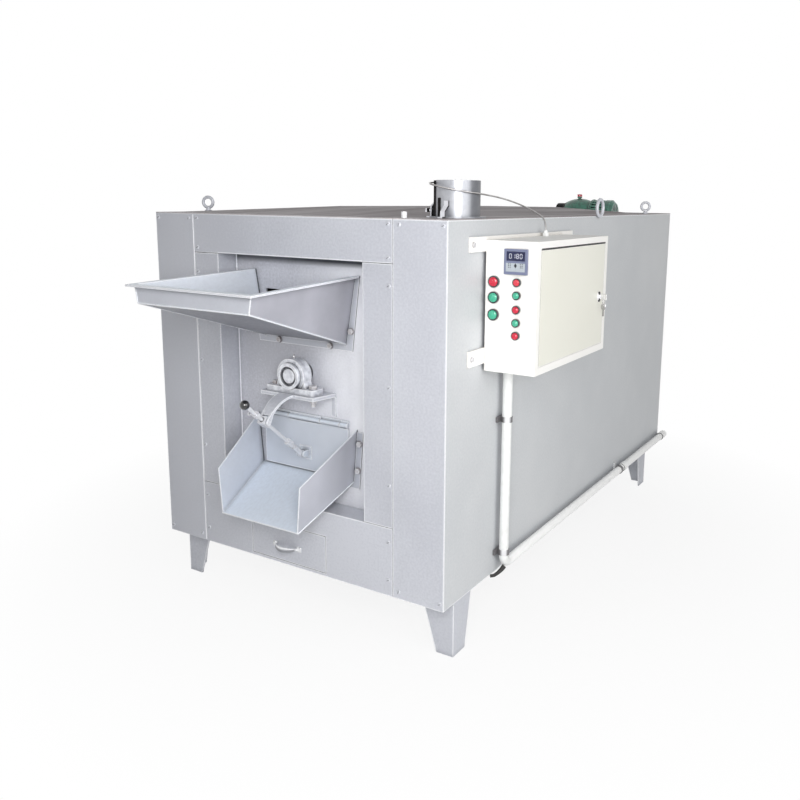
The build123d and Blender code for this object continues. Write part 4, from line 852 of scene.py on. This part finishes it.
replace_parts(lead, "thermocouple_lead")
ferrule = [(0.2, 2.55), (0.2, 3.9), (12, 3.9), (15, 3.0), (15, 2.55), (0.2, 2.55)]
ferrules = [lathe(lead_route[-1], (0, -1, 0), ferrule, 24)]
tip = piece("lead_ferrule", ferrules, bright_steel, "base")

# Drive
# A green motor and worm reducer on a bracket behind the casing, with a chain down to the drum.
# The castings are enamelled, the chain and sprockets are dark with oil, and the breather is red.
enamel = cast("green_enamel", linear(44, 118, 96), linear(26, 84, 68), linear(120, 180, 160),
              linear(12, 34, 28), metallic=0.0)
over(enamel)[1].inputs["Coat Weight"].default_value = 0.6


def capped(name, edge):
    """The motor's enamel on a casting whose end beyond a line across it is a black cover."""
    material = enamel.copy()
    material.name = name
    tree, surface, green, place = over(material)
    beyond = reckon(tree, "LESS_THAN", axes(tree, place)[0], edge)
    feed(surface, "Base Color", between(tree, beyond, green, linear(16, 17, 19)))
    feed(surface, "Coat Weight", spread(tree, beyond, 0, 1, 0.6, 0.0))
    feed(surface, "Specular IOR Level", spread(tree, beyond, 0, 1, 0.5, 0.1))
    return material


dress(enamel, "motor")
dress(capped("green_enamel_dark_end", -0.078), "reducer")
dress(side_paint, "motor_platform", "chain_guard")
oiled = turned("oiled_steel", linear(84, 80, 76), linear(50, 47, 45), rough=(0.25, 0.4))
dress(oiled, "drive_chain", "drum_sprocket", "drive_sprocket")
drive_y, motor_height = 1.390, 1.360
fan_x, joint_x, end_x = 0.2048, 0.0790, -0.1358
reach = np.array([0.022, 0.024, 0.052, 0.054])[:, None]
slot_radius = 0.0022
# The fan cowl's slots and the joint between motor and reducer are black strips, painted as the shade in
# them; the end cover is black.
dark_parts_and_shade = []
for angle in np.linspace(0, 2 * np.pi, 16, endpoint=False):
    slot_line = np.array((fan_x, drive_y, motor_height)) + reach * (0, math.cos(angle), math.sin(angle))
    dark_parts_and_shade.append(bead(slot_line, [0, slot_radius, slot_radius, 0], (1, 0, 0)))
dark_parts_and_shade.append(ring((joint_x, drive_y, motor_height), (0, 1, 0), (0, 0, 1), 0.0800, 0.0016))
end_cover = [(0, 0), (0, 50), (2.4, 50), (3.6, 47), (3.6, 20), (6, 18), (6, 0)]
dark_parts_and_shade.append(lathe((end_x, drive_y, motor_height), (-1, 0, 0), end_cover, 40))
piece("motor_dark_parts_and_shade", dark_parts_and_shade, black_plastic_and_shade, "base")
vent = [(0, 9.2), (0, 15), (8, 15), (12, 12), (13, 6), (13, 0), (2, 0), (2, 9.2), (0, 9.2)]
vent_at = (-0.010, drive_y, motor_height + 0.0962)
breather = [lathe(vent_at, (0, 0, 1), vent, 28)]
piece("breather_cap", breather, red_cap, "base")

# Screws and bolts
# Slotted round-head screws hold the panels, and hexagon bolts hold the bearings and trays.
# The screws are painted over with the panels; the bolts are weathered, the trays' on zinc washers painted
# darker as the shade round their heads.
bolt_paint = sprayed("weathered_bolts", linear(216, 215, 218), linear(172, 166, 166), silver_highlight,
                     linear(84, 70, 66), metallic=0.2, rough=(0.35, 0.5), width=0.003)
tree, surface, weathered, place = over(bolt_paint)
on_lid = reckon(tree, "GREATER_THAN", axes(tree, place)[2], lid_height)
feed(surface, "Base Color", between(tree, on_lid, weathered, linear(244, 244, 246)))
dress(bolt_paint, "fasteners")
washer = [(0, 0), (0, 11.5), (1.3, 11.5), (1.3, 0)]
washers = []
for x, z in ((0.110, 0.955), (0.196, 1.010), (0.219, 0.548), (0.226, 0.640)):
    for side in (-1, 1):
        washers.append(lathe((side * x, plate_face - 0.003, z), (0, -1, 0), washer, 28))
# The washers' zinc is painted dark, as painted shade round the bolt heads.
shaded_washer_zinc = sprayed("shaded_washer_zinc", linear(168, 165, 168), linear(146, 142, 145), linear(200, 198, 200),
                    linear(84, 78, 80), metallic=0.2, rough=(0.4, 0.55), width=0.0)
piece("washers", washers, shaded_washer_zinc, "base")
screw_places = [
    (0.397, 1.358), (0.397, 1.259), (0.400, 1.176), (0.400, 0.866), (0.400, 0.556), (0.397, 0.369),
    (0.397, 0.243), (0.436, 1.357), (0.587, 1.357), (0.436, 0.213), (0.587, 0.213)]
screw_head = [(0, 0), (0, 7.0), (1.0, 6.8), (2.2, 5.4), (3.0, 3.0), (3.2, 0)]
# The slots are black strips, painted as the shade inside them.
reach = np.array([-0.0052, -0.0046, 0.0046, 0.0052])[:, None]
cut_radius = 0.0008
heads, cuts = [], []
for x, z in screw_places:
    tilt = math.radians(35 + 900 * x)
    for side in (-1, 1):
        heads.append(lathe((side * x, front_face, z), (0, -1, 0), screw_head, 20))
        cut_at = np.array((side * x, front_face - 0.0028, z))
        cut_line = cut_at + reach * (math.cos(tilt), 0, math.sin(tilt))
        cuts.append(bead(cut_line, [0, cut_radius, cut_radius, 0], (0, 1, 0), 6))
screw_paint = sprayed("screw_paint", silver, silver_shade, silver_highlight, silver_corner_shade, width=0.002)
piece("panel_screws", heads, screw_paint, "base")
piece("screw_slots", cuts, rubber_and_shade, "base")

# Floor, light and camera
# A pale floor with a faint shadow, which fades to white away from the machine, under a white sky.
# Three softboxes light the machine, and the camera stands where the photograph was taken from.
half = 20.0
floor_mesh = bpy.data.meshes.new("studio_floor")
corners = [(-half, -half, 0), (half, -half, 0), (half, half, 0), (-half, half, 0)]
floor_mesh.from_pydata(corners, [], [(0, 1, 2, 3)])
floor = bpy.data.objects.new("studio_floor", floor_mesh)
bpy.context.scene.collection.objects.link(floor)


def in_sight(tree):
    """1 for a ray that shows the thing itself, straight, in a reflection or through glass, else 0."""
    rays = add(tree, "ShaderNodeLightPath").outputs
    seen = reckon(tree, "MAXIMUM", rays["Is Camera Ray"], rays["Is Glossy Ray"])
    return reckon(tree, "MAXIMUM", seen, rays["Is Transmission Ray"])


floor_paint, tree = blank("studio_floor")
matt = add(tree, "ShaderNodeBsdfDiffuse", {"Color": (0.86, 0.86, 0.86, 1)}).outputs[0]
glow = add(tree, "ShaderNodeEmission", {"Color": (1, 1, 1, 1), "Strength": 1.0}).outputs[0]
place = add(tree, "ShaderNodeTexCoord").outputs["Object"]
distance = add(tree, "ShaderNodeVectorMath", {0: place}, operation="LENGTH").outputs["Value"]
fade = spread(tree, distance, 0.9, 2.0, 0.86, 1.0)
white = reckon(tree, "MULTIPLY", in_sight(tree), fade)
blend = add(tree, "ShaderNodeMixShader", {0: white, 1: matt, 2: glow}).outputs[0]
add(tree, "ShaderNodeOutputMaterial", {"Surface": blend})
floor_mesh.materials.append(floor_paint)

world = bpy.data.worlds.new("studio")
bpy.context.scene.world = world
world.use_nodes = True
tree = world.node_tree
tree.nodes.clear()
ambient = 0.2
strength = spread(tree, in_sight(tree), 0, 1, ambient, 1.0)
sky = add(tree, "ShaderNodeBackground", {"Color": (1, 1, 1, 1), "Strength": strength}).outputs[0]
add(tree, "ShaderNodeOutputWorld", {"Surface": sky})


def lamp(name, at, towards, size, watts):
    """A square softbox that shines at a point."""
    light = bpy.data.lights.new(name, "AREA")
    light.size = size
    light.energy = watts
    box = bpy.data.objects.new(name, light)
    box.location = at
    box.rotation_euler = (Vector(towards) - Vector(at)).to_track_quat("-Z", "Y").to_euler()
    bpy.context.scene.collection.objects.link(box)


lamp("front_light", (1.72, -3.05, 1.7), (0.15, -0.95, 0.8), 1.3, 57)
lamp("side_light", (4.5, -1.3, 2.1), (0.6, -0.4, 0.7), 2.2, 64)
lamp("rear_light", (-3.6, 3.4, 0.9), (-0.3, 0.3, 0.7), 1.6, 80)

camera_at = Vector((1.7827, -3.0750, 1.4303))
yaw, pitch, roll = (math.radians(a) for a in (-30.608, -10.225, 0.717))
forward = Vector((math.sin(yaw) * math.cos(pitch), math.cos(yaw) * math.cos(pitch), math.sin(pitch)))
level = Vector((math.cos(yaw), -math.sin(yaw), 0))
upright = level.cross(forward)
across = math.cos(roll) * level + math.sin(roll) * upright
up = -math.sin(roll) * level + math.cos(roll) * upright
view = bpy.data.cameras.new("photo_view")
view.sensor_width = 36.0
picture, focal, middle_x, middle_y = 800, 815.07, 450.46, 346.51
view.lens = focal / picture * view.sensor_width
view.shift_x = (picture / 2 - middle_x) / picture
view.shift_y = (middle_y - picture / 2) / picture
view.clip_end = 100
camera = bpy.data.objects.new("photo_view", view)
camera.matrix_world = Matrix((across, up, -forward)).transposed().to_4x4()
camera.location = camera_at
bpy.context.scene.collection.objects.link(camera)
bpy.context.scene.camera = camera
bpy.context.scene.view_settings.view_transform = "Standard"
